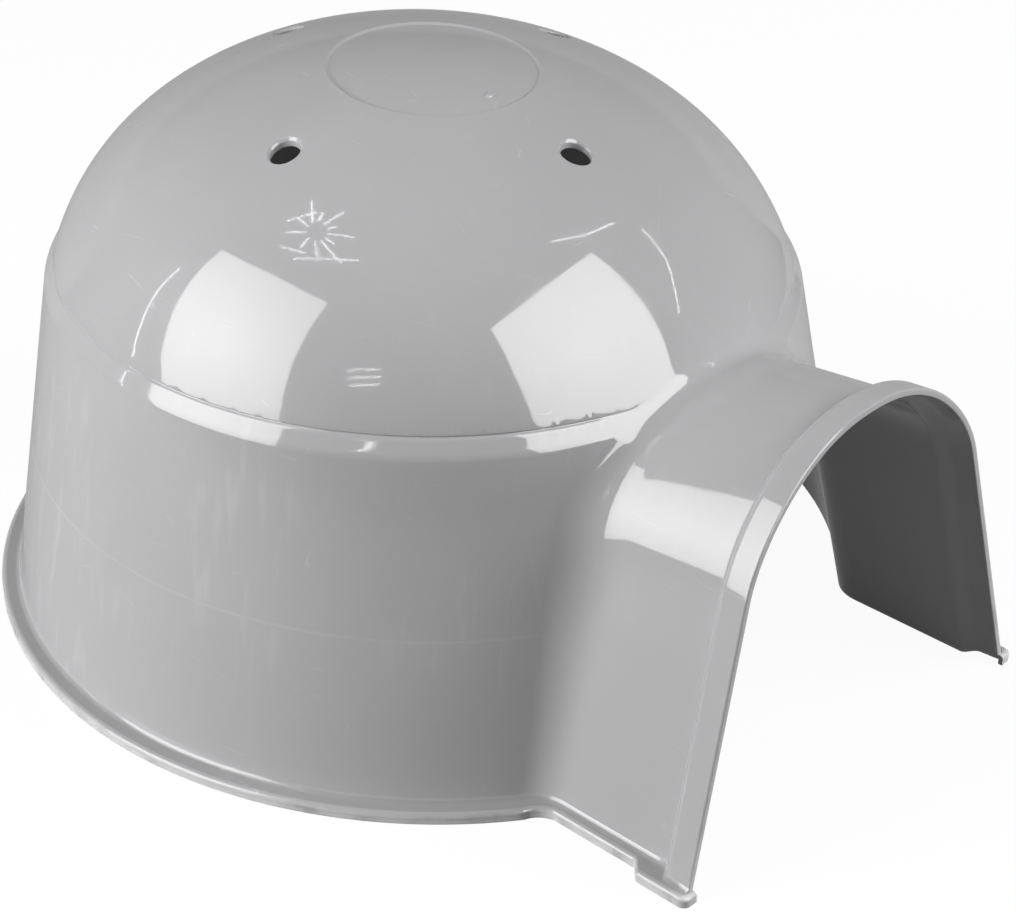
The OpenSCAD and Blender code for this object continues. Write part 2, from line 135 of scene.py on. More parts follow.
@dataclass
class Body:
    """The drafted oval wall, the shoulder band and the domed roof."""

    width: float = 229.2
    length: float = 242.8
    height: float = 154.9
    wall: float = 2.0
    lean: float = 16.7
    shoulder: float = 98.4
    band: float = 4.5
    band_lean: float = 2.6
    groove: float = 0.45
    groove_width: float = 0.5
    groove_steps: tuple = (-1.0, -0.6, -0.3, 0.0, 0.3, 0.6, 1.0)
    spring: float = 32.0
    square: float = 1.91
    crest: float = 3.44
    bend: float = 1.1
    witness: float = 46.8
    witness_width: float = 0.5
    witness_depth: float = 0.05
    witness_steps: tuple = (-1.0, -0.5, 0.0, 0.5, 1.0)
    columns: int = 400
    low_rows: int = 14
    high_rows: int = 26
    bend_rows: int = 9
    neck_rows: int = 5
    probe: float = 0.01

    @property
    def depths(self) -> tuple:
        """Depths of the outside and the inside."""
        return 0.0, self.wall

    @property
    def band_z(self) -> float:
        """Level of the band's lower edge."""
        return self.shoulder - self.band

    def inset(self, z: Array) -> Array:
        """How far the wall stands in at a level."""
        band = self.lean + self.band_lean * (z - self.band_z) / self.band
        return np.where(z <= self.band_z, self.lean * z / self.band_z, band)

    def roof_half(self, size: float, depth: float) -> float:
        """Half the roof's width or length at the shoulder."""
        return size / 2 - self.lean - self.band_lean - depth

    def roof_share(self, z: Array, depth: float) -> Array:
        """The roof's size at a level.

        Args:
            z: level.
            depth: under the outside.

        Returns:
            The size, as a share of that at the shoulder.
        """
        rise = self.height - depth - self.spring
        here = np.clip((z - self.spring) / rise, 0.0, 1.0)
        low = (self.shoulder - self.spring) / rise
        return ((1.0 - here**self.crest) / (1.0 - low**self.crest)) ** (1.0 / self.square)

    def half(self, size: float, z: Array, depth: float) -> Array:
        """Half the body's width or length at a level."""
        roof = self.roof_half(size, depth) * self.roof_share(z, depth)
        return np.where(z <= self.shoulder, size / 2 - self.inset(z) - depth, roof)

    def point(self, turn: Array, z: Array, depth: float) -> Array:
        """The point of the body at a turn, in radians from the middle of the tunnel towards +X, and a level."""
        across, along = self.half(self.width, z, depth), self.half(self.length, z, depth)
        return stack(across * np.sin(turn), -along * np.cos(turn), z)

    def front(self, x: Array, z: Array, depth: float) -> Array:
        """Where the body's front lies behind a point of the tunnel."""
        share = np.clip(x / self.half(self.width, z, depth), -1.0, 1.0)
        return -self.half(self.length, z, depth) * np.sqrt(1.0 - share**2)

    def turn(self, point: Array, depth: float) -> Array:
        """The turn at which a point of the body lies."""
        return np.arcsin(point[..., 0] / self.half(self.width, point[..., 2], depth))

    def normal(self, point: Array, depth: float) -> Array:
        """The way out of the body.

        Args:
            point: points of the body.
            depth: under the outside.

        Returns:
            One unit vector for each point.
        """
        x, y, z = point[..., 0], point[..., 1], point[..., 2]
        a, b = self.half(self.width, z, depth), self.half(self.length, z, depth)
        da = (self.half(self.width, z + self.probe, depth) - a) / self.probe
        db = (self.half(self.length, z + self.probe, depth) - b) / self.probe
        way = stack(x / a**2, y / b**2, -(x**2) * da / a**3 - y**2 * db / b**3)
        return way / np.linalg.norm(way, axis=-1, keepdims=True)

    def roof_z(self, plan: Array, depth: float) -> Array:
        """Height of the roof.

        Args:
            plan: points of the plan.
            depth: under the outside.

        Returns:
            The height over each point.
        """
        a, b = self.roof_half(self.width, depth), self.roof_half(self.length, depth)
        rise = self.height - depth - self.spring
        low = ((self.shoulder - self.spring) / rise) ** self.crest
        out = np.hypot(plan[..., 0] / a, plan[..., 1] / b) ** self.square
        return self.spring + rise * np.clip(1.0 - (1.0 - low) * out, 0.0, 1.0) ** (1.0 / self.crest)

    def relief(self, z: Array) -> Array:
        """How far the eased bend of the band, the groove and the witness line take the surface in.

        Args:
            z: level.

        Returns:
            The distance at each level.
        """
        kink = self.band_lean / self.band - self.lean / self.band_z
        bend = rounding(kink, z, self.band_z, self.bend)
        groove = self.groove * notch(z, self.shoulder, self.groove_width)
        return bend + groove + self.witness_depth * notch(z, self.witness, self.witness_width)

    def levels(self, foot: float, fillet: float) -> Array:
        """Levels of the rows of the wall.

        Args:
            foot: level of the flange's underside.
            fillet: level at which the fillet meets the wall.

        Returns:
            The levels, up to the top of the groove.
        """
        line = self.witness + self.witness_width * np.array(self.witness_steps)
        bend = self.band_z + self.bend * np.linspace(-1.0, 1.0, self.bend_rows)
        groove = self.shoulder + self.groove_width * np.array(self.groove_steps)
        low = np.linspace(fillet, line[0], self.low_rows, endpoint=False)
        high = np.linspace(line[-1], bend[0], self.high_rows)[1:-1]
        neck = np.linspace(bend[-1], groove[0], self.neck_rows)[1:-1]
        return np.concatenate([[foot], low, line, high, bend, neck, groove])


@dataclass
class Tunnel:
    """The entrance tunnel with its arch, the blend into the body and the stepped lip."""

    body: Body
    width: float = 125.2
    height: float = 104.8
    arch: float = 75.2
    arch_square: float = 2.3
    draft: float = 0.27
    rise: float = 0.13
    step_y: float = 141.9
    blend_low: float = 4.8
    blend_side: float = 9.0
    blend_top: float = 5.0
    lip: float = 9.9
    ramp: float = 2.4
    step: float = 3.3
    flare: float = 0.6
    mouth_lean: float = 0.024
    round_over: float = 0.55
    ease: float = 0.9
    ease_reach: float = 4.0
    arch_start: float = 0.5
    blend_steps: int = 18
    tunnel_steps: int = 24
    top_steps: int = 70
    ease_rows: int = 7
    flare_rows: int = 6
    round_steps: int = 4
    settling: int = 12
    halvings: int = 40
    levels: Array = field(default_factory=lambda: np.zeros(0))
    shares: dict = field(default_factory=dict)

    def arch_turn(self, share: Array) -> Array:
        """Turn along the arch, in radians, at a share of the way up its side."""
        return QUARTER_TURN * np.maximum(0.0, share - self.arch_start) / (1.0 - self.arch_start)

    def section(self, share: Array, grow: Array) -> Array:
        """The tunnel's section.

        Args:
            share: share of the way up its side.
            grow: by how much the section is grown.

        Returns:
            Points across and up.
        """
        turn = self.arch_turn(share)
        low = self.arch * share / self.arch_start
        high = self.arch + (self.height + grow - self.arch) * np.sin(turn)
        z = np.where(share <= self.arch_start, low, high)
        wide = self.width / 2 + grow - self.draft * z
        return flat(wide * np.maximum(0.0, np.cos(turn)) ** (2.0 / self.arch_square), z)

    def slope(self, section: Array) -> Array:
        """How steeply a point of the section rises towards the lip."""
        return self.rise * (section[..., 1] / self.height) ** 2

    def along(self, section: Array, y: Array) -> Array:
        """A point of the section carried along the tunnel, whose roof rises towards the lip."""
        return stack(section[..., 0], y, section[..., 1] + self.slope(section) * (-y - self.step_y))

    def body_edge(self, share: Array, depth: float) -> Array:
        """Where the blend leaves the body.

        Args:
            share: share of the way up the arch.
            depth: under the outside.

        Returns:
            One point of the body for each share.
        """
        turn = self.arch_turn(share)
        side = self.blend_low + (self.blend_side - self.blend_low) * np.clip(share / self.arch_start, 0.0, 1.0)
        width = side + (self.blend_top - side) * np.sin(turn)
        section = self.section(share, -depth) + width[..., None] * flat(np.cos(turn), np.sin(turn))
        y = np.full(share.shape, -self.body.length / 2)
        for _ in range(self.settling):
            point = self.along(section, y)
            y = self.body.front(point[..., 0], point[..., 2], depth)
        return self.along(section, y)

    def share_at(self, z: Array, depth: float) -> Array:
        """The share of the way up at which the blend's edge on the body reaches a level.

        Args:
            z: levels.
            depth: under the outside.

        Returns:
            One share for each level.
        """
        low, high = np.zeros(z.shape), np.ones(z.shape)
        for _ in range(self.halvings):
            middle = (low + high) / 2
            under = self.body_edge(middle, depth)[..., 2] < z
            low, high = np.where(under, middle, low), np.where(under, high, middle)
        return (low + high) / 2

    def set_levels(self, levels: Array) -> None:
        """Takes the wall's levels, and works out the samples up the arch from them.

        Args:
            levels: levels of the wall's rows.
        """
        self.levels = levels
        for depth in self.body.depths:
            side = self.share_at(levels, depth)
            top = side[-1] + (1.0 - side[-1]) * even_shares(self.top_steps)[1:]
            self.shares[depth] = np.concatenate([side, top])

    def blend(self, depth: float) -> Array:
        """The blend: curves from the body to the tunnel, which leave the body in its own plane.

        Args:
            depth: under the outside.

        Returns:
            The points, up the arch and along each curve.
        """
        share = self.shares[depth]
        section = self.section(share, -depth)
        start = self.body_edge(share, depth)
        normal = self.body.normal(start, depth)
        still = self.along(section, np.zeros(share.shape))
        y = (
            normal[:, 1] * start[:, 1]
            - normal[:, 0] * (section[:, 0] - start[:, 0])
            - normal[:, 2] * (still[:, 2] - start[:, 2])
        ) / (normal[:, 1] - normal[:, 2] * self.slope(section))
        y = self.eased(y, start)
        control = self.along(section, y)
        end = self.along(section, y - np.linalg.norm(control - start, axis=-1))
        t = even_shares(self.blend_steps)[None, :, None]
        return start[:, None] * (1 - t) ** 2 + control[:, None] * 2 * t * (1 - t) + end[:, None] * t**2

    def eased(self, values: Array, line: Array) -> Array:
        """Evens out values along a line of points, so that a bend of the body fades into the blend.

        Args:
            values: one for each point.
            line: the points, whose far end is the middle of the arch.

        Returns:
            The eased values.
        """
        lengths = np.concatenate([[0.0], np.cumsum(np.linalg.norm(np.diff(line, axis=0), axis=-1))])
        here, there, spacing = lengths[:, None], lengths[None, :], np.gradient(lengths)[None, :]
        gaps = (here - there, 2 * lengths[-1] - here - there)
        weight = sum(np.exp(-0.5 * (gap / self.ease_reach) ** 2) * spacing for gap in gaps)
        return (weight @ values) / weight.sum(axis=1)

    def tube(self, depth: float) -> Array:
        """The tunnel between the blend and the lip's step.

        Args:
            depth: under the outside.

        Returns:
            The points, up the arch and along the tunnel.
        """
        share = self.shares[depth]
        start = self.blend(depth)[:, -1, 1]
        end = self.mouth_points(share[:, None], np.zeros(1), np.full(1, -depth))[:, 0, 1]
        t = even_shares(self.tunnel_steps)
        y = start[:, None] * (1 - t) + end[:, None] * t
        return self.along(self.section(share, -depth)[:, None, :], y)

    def mouth_points(self, share: Array, reach: Array, grow: Array) -> Array:
        """Points at the mouth, where the roof no longer rises.

        Args:
            share: share of the way up the arch.
            reach: how far each point lies in front of the step.
            grow: how far each point lies outside the tunnel's section.

        Returns:
            The points, up the arch and outwards.
        """
        section = self.section(share, grow[None, :])
        y = -self.step_y - reach[None, :] + self.mouth_lean * section[..., 1]
        return stack(section[..., 0], y, section[..., 1])

    def lip_profile(self, face: Face) -> tuple[Array, Array]:
        """The lip's profile from the tunnel to the mouth's rounded edge.

        Args:
            face: which side of the moulding.

        Returns:
            How far each point lies in front of the step, and outside the tunnel's section.
        """
        depth = self.body.depths[face.value]
        first = depth * math.tan(math.atan(self.step / self.ramp) / 2)
        second = self.ramp + first
        ease = self.ease
        reach = np.concatenate(
            [
                [0.0, first - ease],
                np.linspace(first - ease, first + ease, self.ease_rows)[1:],
                np.linspace(second - ease, second + ease, self.ease_rows),
                np.linspace(second + ease, self.lip - self.round_over, self.flare_rows)[1:],
            ]
        )
        reach = np.unique(np.round(reach, 6))
        reach = reach[reach >= 0.0]
        steep = self.step / (second - first)
        grow = np.where(reach > first, self.step * np.minimum(1.0, (reach - first) / (second - first)), 0.0)
        grow = grow + np.where(reach > second, self.flare * (reach - second) / (self.lip - second), 0.0)
        grow = grow + rounding(steep, reach, first, ease)
        grow = grow + rounding(self.flare / (self.lip - self.ramp) - steep, reach, second, ease)
        return reach, grow - depth

    def lip_skin(self) -> Array:
        """The lip's whole skin, out over the mouth's edge and back inside.

        Returns:
            The points, up the arch and along the skin.
        """
        out_reach, out_grow = self.lip_profile(Face.OUTSIDE)
        in_reach, in_grow = self.lip_profile(Face.INSIDE)
        top, low, r = out_grow[-1], in_grow[-1], self.round_over
        turns = quarter_turn(self.round_steps)[1:]
        edge_reach = np.concatenate([self.lip - r + r * np.sin(turns), self.lip - r + r * np.cos(turns[:-1])])
        edge_grow = np.concatenate([top - r + r * np.cos(turns), low + r - r * np.sin(turns[:-1])])
        reach = np.concatenate([out_reach, edge_reach, in_reach[::-1]])
        grow = np.concatenate([out_grow, edge_grow, in_grow[::-1]])
        mix = np.clip((top - grow) / (top - low), 0.0, 1.0)
        mix[: len(out_reach)] = 0.0
        mix[-len(in_reach) :] = 1.0
        outside, inside = (self.shares[depth][:, None] for depth in self.body.depths)
        return self.mouth_points(outside * (1 - mix) + inside * mix, reach, grow)


@dataclass
class Crown:
    """The round disc at the top of the roof, set a little below it, with the gate mark of the mould."""

    width: float = 53.0
    length: float = 56.0
    y: float = 6.4
    step: float = 0.6
    ease: float = 0.5
    clear: float = 1.2
    sides: int = 180
    shares: tuple = (1.0, 0.994, 0.988, 0.981, 0.96, *np.linspace(0.93, 0.06, 16))
    gate_x: float = -2.0
    gate_y: float = 28.4
    gate_width: float = 3.0
    gate_length: float = 2.0
    gate_height: float = 0.5
    gate_profile: tuple = ((1.0, -0.4), (1.0, 0.1), (0.9, 0.6), (0.6, 1.0), (0.3, 0.84), (0.02, 0.8))
    gate_sides: int = 24

    @property
    def rings(self) -> tuple:
        """Distances outside the disc's edge at which the roof has a ring of points."""
        return 0.0, 0.17, 0.33, self.ease, self.clear

    def ring(self, out: float) -> Array:
        """A ring of the plan at a distance outside the disc's edge."""
        turn, across, along = full_turn(self.sides), self.width / 2 + out, self.length / 2 + out
        return flat(across * np.sin(turn), -self.y - along * np.cos(turn))

    def distance(self, plan: Array) -> Array:
        """About how far points of the plan lie outside the disc's edge."""
        share = np.hypot(plan[..., 0] / (self.width / 2), (plan[..., 1] + self.y) / (self.length / 2))
        return (share - 1.0) * (self.width + self.length) / 4

    def drop(self, plan: Array) -> Array:
        """How far the surface lies under the roof."""
        return self.step * smooth_step((self.ease - self.distance(plan)) / (2 * self.ease))


@dataclass
class Vents:
    """The vent holes on an oval round the crown."""

    hole: float = 7.8
    bevel: float = 0.6
    rim: float = 0.12
    clear: float = 1.0
    width: float = 98.4
    length: float = 104.2
    y: float = 3.5
    count: int = 4
    sides: int = 72

    @property
    def rings(self) -> tuple:
        """Distances outside a hole's edge at which the roof has a ring of points."""
        return 0.0, 0.2, 0.4, self.bevel, self.clear

    def centres(self) -> Array:
        """The middles of the holes, in the plan."""
        turn = FULL_TURN * np.arange(self.count) / self.count
        return flat(np.sin(turn) * self.width / 2, -self.y - np.cos(turn) * self.length / 2)

    def ring(self, centre: Array, out: float) -> Array:
        """A ring of the plan round a hole, at a distance outside its edge."""
        turn = full_turn(self.sides)
        return centre + (self.hole / 2 + out) * flat(np.cos(turn), np.sin(turn))

    def drop(self, plan: Array) -> Array:
        """How far the bevels take the surface down at points of the plan."""
        out = np.min([away(plan, centre) - self.hole / 2 for centre in self.centres()], axis=0)
        near = np.maximum(0.0, self.bevel - out)
        return near + self.rim * np.clip(near / self.bevel, 0.0, 1.0) ** 2


@dataclass
class Foot:
    """The flange that the hut stands on, and the skirt at its edge.

    The two edges are lists of how far a point lies from the skirt's outer or inner face, and its level.
    """

    width: float = 4.9
    side: float = 2.8
    jog: float = 3.5
    jog_y: float = 6.1
    jog_l: float = 4.7
    thick: float = 1.5
    height: float = 3.0
    skirt: float = 1.4
    fillet: float = 1.2
    corner: float = 2.2
    bead: float = 1.0
    bead_share: float = 0.8
    least: float = 0.1
    parting: float = 0.12
    parting_z: float = 1.25
    parting_half: float = 0.3
    outer_edge: tuple = ((0.0, 0.25), (0.08, 0.08), (0.25, 0.0))
    inner_edge: tuple = ((0.2, 0.0), (0.06, 0.06), (0.0, 0.2))
    corner_steps: int = 10
    jog_steps: int = 18
    toe_steps: int = 4
    round_steps: int = 5

    @property
    def ledge(self) -> float:
        """Level of the flange's underside."""
        return self.height - self.thick

    @property
    def fillet_top(self) -> float:
        """Level at which the fillet meets the wall."""
        return self.height + self.fillet

    @property
    def inner_corner(self) -> float:
        """Radius inside the skirt's corner at the mouth."""
        return self.corner - self.skirt


@dataclass
class Patch:
    """A grid or a net of faces that belongs to one piece."""

    piece: str
    shading: Shading
    points: Array
    faces: list


@dataclass
class Moulding:
    """Gathers the patches of the skin, and makes one closed mesh for each piece with shared normals.

    Its shift is how far the roof's middle line lies from the origin, along the tunnel.
    """

    shift: float
    patches: list[Patch] = field(default_factory=list)
    steps_per_mm: int = 500

    def net(self, piece: str, points: Array, faces: list, shading: Shading = Shading.SKIN) -> None:
        """Adds a net of faces."""
        self.patches.append(Patch(piece, shading, np.asarray(points, float), faces))

    def cap(self, piece: str, points: Array, shading: Shading = Shading.FLAT) -> None:
        """Closes a ring of points with one face."""
        self.net(piece, points, [list(range(len(points)))], shading)

    def grid(self, piece: str, points: Array, shading: Shading = Shading.SKIN, ring: bool = False) -> None:
        """Adds a grid of quads.

        Args:
            piece: the piece that it belongs to.
            points: rows of points.
            shading: how it is shaded.
            ring: whether the last column meets the first.
        """
        rows, columns = points.shape[:2]
        number = np.arange(rows * columns).reshape(rows, columns)
        if ring:
            number = np.concatenate([number, number[:, :1]], axis=1)
        quads = np.stack([number[:-1, :-1], number[1:, :-1], number[1:, 1:], number[:-1, 1:]], axis=-1)
        self.net(piece, points.reshape(-1, 3), quads.reshape(-1, 4).tolist(), shading)

    def strip(
        self, piece: str, first: Array, second: Array, shading: Shading = Shading.FLAT, ring: bool = False
    ) -> None:
        """Closes a piece between two lines of points."""
        self.grid(piece, np.stack([first, second]), shading, ring)

    def build(self) -> dict[str, bpy.types.Object]:
        """Makes the pieces.

        Returns:
            One object for each piece, by name.
        """
        meshes: dict[str, tuple] = {}
        for name in dict.fromkeys(patch.piece for patch in self.patches):
            meshes[name] = self.weld([patch for patch in self.patches if patch.piece == name])
        table = self.shared_normals(meshes)
        for mesh, kinds in meshes.values():
            self.set_normals(mesh, kinds, table)
        return {name: put_in_scene(name, mesh) for name, (mesh, _) in meshes.items()}

    def weld(self, patches: list[Patch]) -> tuple[bpy.types.Mesh, Array]:
        """Joins the patches of a piece where they meet, and turns all faces outwards.

        Args:
            patches: those of one piece.

        Returns:
            The mesh, and how each face is shaded.
        """
        points = np.concatenate([patch.points for patch in patches])
        points = (points + np.array([0.0, self.shift, 0.0])) * MM
        _, first, place = np.unique(np.round(points / MM, 3), axis=0, return_index=True, return_inverse=True)
        place = place.reshape(-1)
        start, faces, kinds = 0, [], []
        for patch in patches:
            for face in patch.faces:
                corners = [int(place[start + i]) for i in face]
                kept = [c for n, c in enumerate(corners) if c != corners[n - 1]]
                if len(set(kept)) > 2:
                    faces.append(kept)
                    kinds.append(patch.shading.value)
            start += len(patch.points)
        mesh = bpy.data.meshes.new(patches[0].piece)
        mesh.from_pydata(points[first].tolist(), [], faces)
        mesh.attributes.new("kind", "INT", "FACE").data.foreach_set("value", kinds)
        build = bmesh.new()
        build.from_mesh(mesh)
        bmesh.ops.recalc_face_normals(build, faces=build.faces)
        if build.calc_volume(signed=True) < 0:
            bmesh.ops.reverse_faces(build, faces=build.faces)
        build.to_mesh(mesh)
        build.free()
        kinds = np.zeros(len(mesh.polygons), np.int32)
        mesh.attributes["kind"].data.foreach_get("value", kinds)
        mesh.attributes.remove(mesh.attributes["kind"])
        return mesh, kinds

    def shared_normals(self, meshes: dict[str, tuple]) -> dict[tuple, Array]:
        """Adds up the smooth faces round each point, over all pieces.

        Args:
            meshes: each piece's mesh, and how its faces are shaded.

        Returns:
            The way out at each kind of shading and place.
        """
        table: dict[tuple, Array] = {}
        for mesh, kinds in meshes.values():
            points = self.places(mesh)
            for face, kind in zip(mesh.polygons, kinds):
                if kind == Shading.FLAT.value:
                    continue
                way = np.array(face.normal) * face.area
                for corner in face.vertices:
                    key = (int(kind), *points[corner])
                    table[key] = table.get(key, 0.0) + way
        return table

    def places(self, mesh: bpy.types.Mesh) -> list[tuple]:
        """The mesh's points in whole steps, so that points of two pieces can be matched."""
        values = np.zeros(len(mesh.vertices) * 3)
        mesh.vertices.foreach_get("co", values)
        return [tuple(p) for p in np.round(values.reshape(-1, 3) / MM * self.steps_per_mm).astype(int).tolist()]

    def set_normals(self, mesh: bpy.types.Mesh, kinds: Array, table: dict[tuple, Array]) -> None:
        """Gives each corner of a mesh its shared normal.

        Args:
            mesh: the piece's mesh.
            kinds: how its faces are shaded.
            table: the shared normals.
        """
        points = self.places(mesh)
        normals = np.zeros((len(mesh.loops), 3))
        for face, kind in zip(mesh.polygons, kinds):
            for loop, corner in zip(face.loop_indices, face.vertices):
                way = face.normal if kind == Shading.FLAT.value else table[(int(kind), *points[corner])]
                normals[loop] = way
        normals /= np.linalg.norm(normals, axis=1, keepdims=True)
        mesh.shade_smooth()
        mesh.normals_split_custom_set(normals.tolist())


def put_in_scene(name: str, data: bpy.types.ID) -> bpy.types.Object:
    """Makes an object of a mesh, a lamp or a camera."""
    made = bpy.data.objects.new(name, data)
    bpy.context.scene.collection.objects.link(made)
    return made


@dataclass
class Hut:
    """The whole moulding, built piece by piece from its parts.

    The spacings are those of the roof's points, outside and inside. Its first ring and its gap to the border are
    shares of the spacing.
    """

    body: Body
    tunnel: Tunnel
    crown: Crown
    vents: Vents
    foot: Foot
    moulding: Moulding
    fade: int = 10
    spacings: tuple = (1.7, 2.6)
    first_ring: float = 0.6
    border_gap: float = 0.3
    least_count: int = 8
    fine_count: int = 4000
    merge: float = 1e-5
    groove_rows: list = field(default_factory=list)
    crown_lines: list = field(default_factory=list)

    def wall_rows(self, depth: float) -> Array:
        """Rows of the wall from the flange to the top of the groove.

        Args:
            depth: under the outside.

        Returns:
            The points of each row, round the back from blend to blend.
        """
        body, tunnel = self.body, self.tunnel
        count = len(tunnel.levels)
        edge = tunnel.body_edge(tunnel.shares[depth][:count], depth)
        first, t = body.turn(edge, depth)[:, None], even_shares(body.columns)
        turn = first * (1 - t) + (FULL_TURN - first) * t
        column = np.arange(body.columns + 1)
        fade = smooth_step(np.minimum(column, body.columns - column) / self.fade)
        relief = (body.relief(edge[:, 2]) if depth == 0 else np.zeros(count))[:, None] * fade[None, :]
        rows = body.point(turn, np.broadcast_to(edge[:, 2][:, None], turn.shape), depth)
        return rows - relief[..., None] * stack(np.sin(turn), -np.cos(turn), 0.0)

    def closed_patch(self, piece: str, outside: Array, inside: Array) -> None:
        """Adds a sheet outside and another inside, closed round their edges.

        Args:
            piece: the piece that they belong to.
            outside: rows of points.
            inside: the same rows at the wall's thickness.
        """
        self.moulding.grid(piece, outside)
        self.moulding.grid(piece, inside)
        for edge in (0, -1, (slice(None), 0), (slice(None), -1)):
            self.moulding.strip(piece, outside[edge], inside[edge])

    def build_wall(self) -> None:
        """The side wall and the shoulder band."""
        rows = [self.wall_rows(depth) for depth in self.body.depths]
        levels = self.tunnel.levels
        band, groove = (int(np.argmin(np.abs(levels - z))) for z in (self.body.band_z, self.body.shoulder))
        self.closed_patch("side_wall_shell", *[sheet[: band + 1] for sheet in rows])
        self.closed_patch("shoulder_band_shell", *[sheet[band : groove + 1] for sheet in rows])
        self.groove_rows = [sheet[groove:] for sheet in rows]

    def build_tunnel(self) -> None:
        """The blend, the tunnel and the lip."""
        for name, sheet in (("tunnel_blend_shell", self.tunnel.blend), ("entrance_tunnel_shell", self.tunnel.tube)):
            self.closed_patch(name, *[both_sides(sheet(depth)) for depth in self.body.depths])
        name, lip = "entrance_lip_shell", both_sides(self.tunnel.lip_skin())
        self.moulding.grid(name, lip)
        self.moulding.strip(name, lip[:, 0], lip[:, -1])
        for foot in (lip[0], lip[-1]):
            self.moulding.cap(name, foot)

    def on_roof(self, plan: Array, depth: float, rise: Array | float = 0.0) -> Array:
        """Points of the roof over points of the plan, raised by an amount."""
        return stack(plan[:, 0], plan[:, 1], self.body.roof_z(plan, depth) - self.crown.drop(plan) + rise)

    def roof_sheet(self, face: Face) -> tuple[Array, list, list[Array]]:
        """One side of the roof, from the groove and the blend to the crown, with the vent holes.

        Args:
            face: which side of the moulding.

        Returns:
            The points, the faces and the closed border lines: the outer one, the crown's and one for each hole.
        """
        depth, outside = self.body.depths[face.value], face is Face.OUTSIDE
        arch = both_sides(self.tunnel.blend(depth)[len(self.tunnel.levels) - 1 :, 0])
        border = np.concatenate([self.groove_rows[face.value][-1], arch[::-1][1:-1]])
        crown = [self.crown.ring(out) for out in self.crown.rings]
        outs = self.vents.rings if outside else self.vents.rings[:1]
        holes = [[self.vents.ring(centre, out) for out in outs] for centre in self.vents.centres()]
        lines = [border[:, :2], *crown, *sum(holes, [])]
        plan = np.concatenate([*lines, self.roof_fill(border[:, :2], depth, self.spacings[face.value])])
        edges, start = [], 0
        for line in lines:
            count = len(line)
            edges += [(start + i, start + (i + 1) % count) for i in range(count)]
            start += count
        found = delaunay_2d_cdt([Vector(p) for p in plan], edges, [], 0, self.merge)
        origin = [sources[0] for sources in found[3]]
        faces = np.array([[origin[i] for i in corners] for corners in found[2]])
        middle = plan[faces].mean(axis=1)
        keep = self.inside(middle, border[:, :2]) & (self.crown.distance(middle) > 0)
        for rings in holes:
            keep &= ~self.inside(middle, rings[0])
        points = self.on_roof(plan, depth, -self.vents.drop(plan) if outside else 0.0)
        points[: len(border)] = border
        borders = np.split(points, np.cumsum([len(line) for line in lines]))
        picked = [borders[0], borders[1], *borders[1 + len(crown) : len(lines) : len(outs)]]
        return points, faces[keep].tolist(), picked

    @staticmethod
    def inside(points: Array, line: Array) -> Array:
        """Which points lie inside a closed line.

        Args:
            points: points of the plan.
            line: the line's corners.

        Returns:
            Whether each point does.
        """
        found = np.zeros(len(points), bool)
        x, y = points[:, 0], points[:, 1]
        for a, b in zip(line, np.roll(line, -1, axis=0)):
            if a[1] != b[1]:
                across = (a[1] > y) != (b[1] > y)
                found ^= across & (x < (b[0] - a[0]) * (y - a[1]) / (b[1] - a[1]) + a[0])
        return found

    def roof_fill(self, border: Array, depth: float, spacing: float) -> Array:
        """Points of the plan that fill the roof evenly, in rings.

        Args:
            border: the roof's outer line.
            depth: under the outside.
            spacing: between two points.

        Returns:
            The points clear of the border, the crown and the holes.
        """
        body, vents = self.body, self.vents
        a, b = body.roof_half(body.width, depth), body.roof_half(body.length, depth)
        fine = np.linspace(1.0, 0.0, self.fine_count)
        z = body.roof_z(flat(fine * 0, fine * b), depth)
        length = np.concatenate([[0.0], np.cumsum(np.hypot(np.diff(fine * b), np.diff(z)))])
        rings = np.interp(np.arange(spacing * self.first_ring, length[-1], spacing), length, fine)
        parts = []
        for number, share in enumerate(rings):
            count = max(self.least_count, int(FULL_TURN * share * (a + b) / 2 / spacing))
            turn = FULL_TURN * (np.arange(count) + 0.5 * (number % 2)) / count
            parts.append(flat(share * a * np.sin(turn), -share * b * np.cos(turn)))
        points = np.concatenate(parts)
        keep = self.inside(points, border) & (self.crown.distance(points) > self.crown.clear + spacing / 2)
        for centre in vents.centres():
            keep &= away(points, centre) > vents.hole / 2 + vents.clear + spacing / 2
        near = np.min([away(points, place) for place in border], axis=0)
        return points[keep & (near > spacing * self.border_gap)]

    def build_roof(self) -> None:
        """The roof, from the bottom of the groove to the crown."""
        name = "dome_cap_shell"
        sheets = [self.roof_sheet(face) for face in Face]
        for (points, faces, _), rows in zip(sheets, self.groove_rows):
            self.moulding.net(name, points, faces)
            self.moulding.grid(name, rows)
        for edge in (0, (slice(None), 0), (slice(None), -1)):
            self.moulding.strip(name, *[rows[edge] for rows in self.groove_rows])
        outer, self.crown_lines, *holes = zip(*(borders for _, _, borders in sheets))
        self.moulding.strip(name, *[np.concatenate([line[self.body.columns :], line[:1]]) for line in outer])
        self.moulding.strip(name, *self.crown_lines, ring=True)
        for lines in holes:
            self.moulding.strip(name, *lines, Shading.VENT, ring=True)

    def build_crown(self) -> None:
        """The crown disc."""
        name, crown = "crown_disc_shell", self.crown
        middle = np.array([0.0, -crown.y])
        fan = [[i, (i + 1) % crown.sides, crown.sides] for i in range(crown.sides)]
        for depth in self.body.depths:
            plans = [(crown.ring(0.0) - middle) * share + middle for share in crown.shares]
            rows = np.stack([self.on_roof(plan, depth) for plan in plans])
            self.moulding.grid(name, rows, ring=True)
            self.moulding.net(name, np.concatenate([rows[-1], self.on_roof(middle[None, :], depth)]), fan)
        self.moulding.strip(name, *self.crown_lines, ring=True)
        self.build_gate_mark(name)

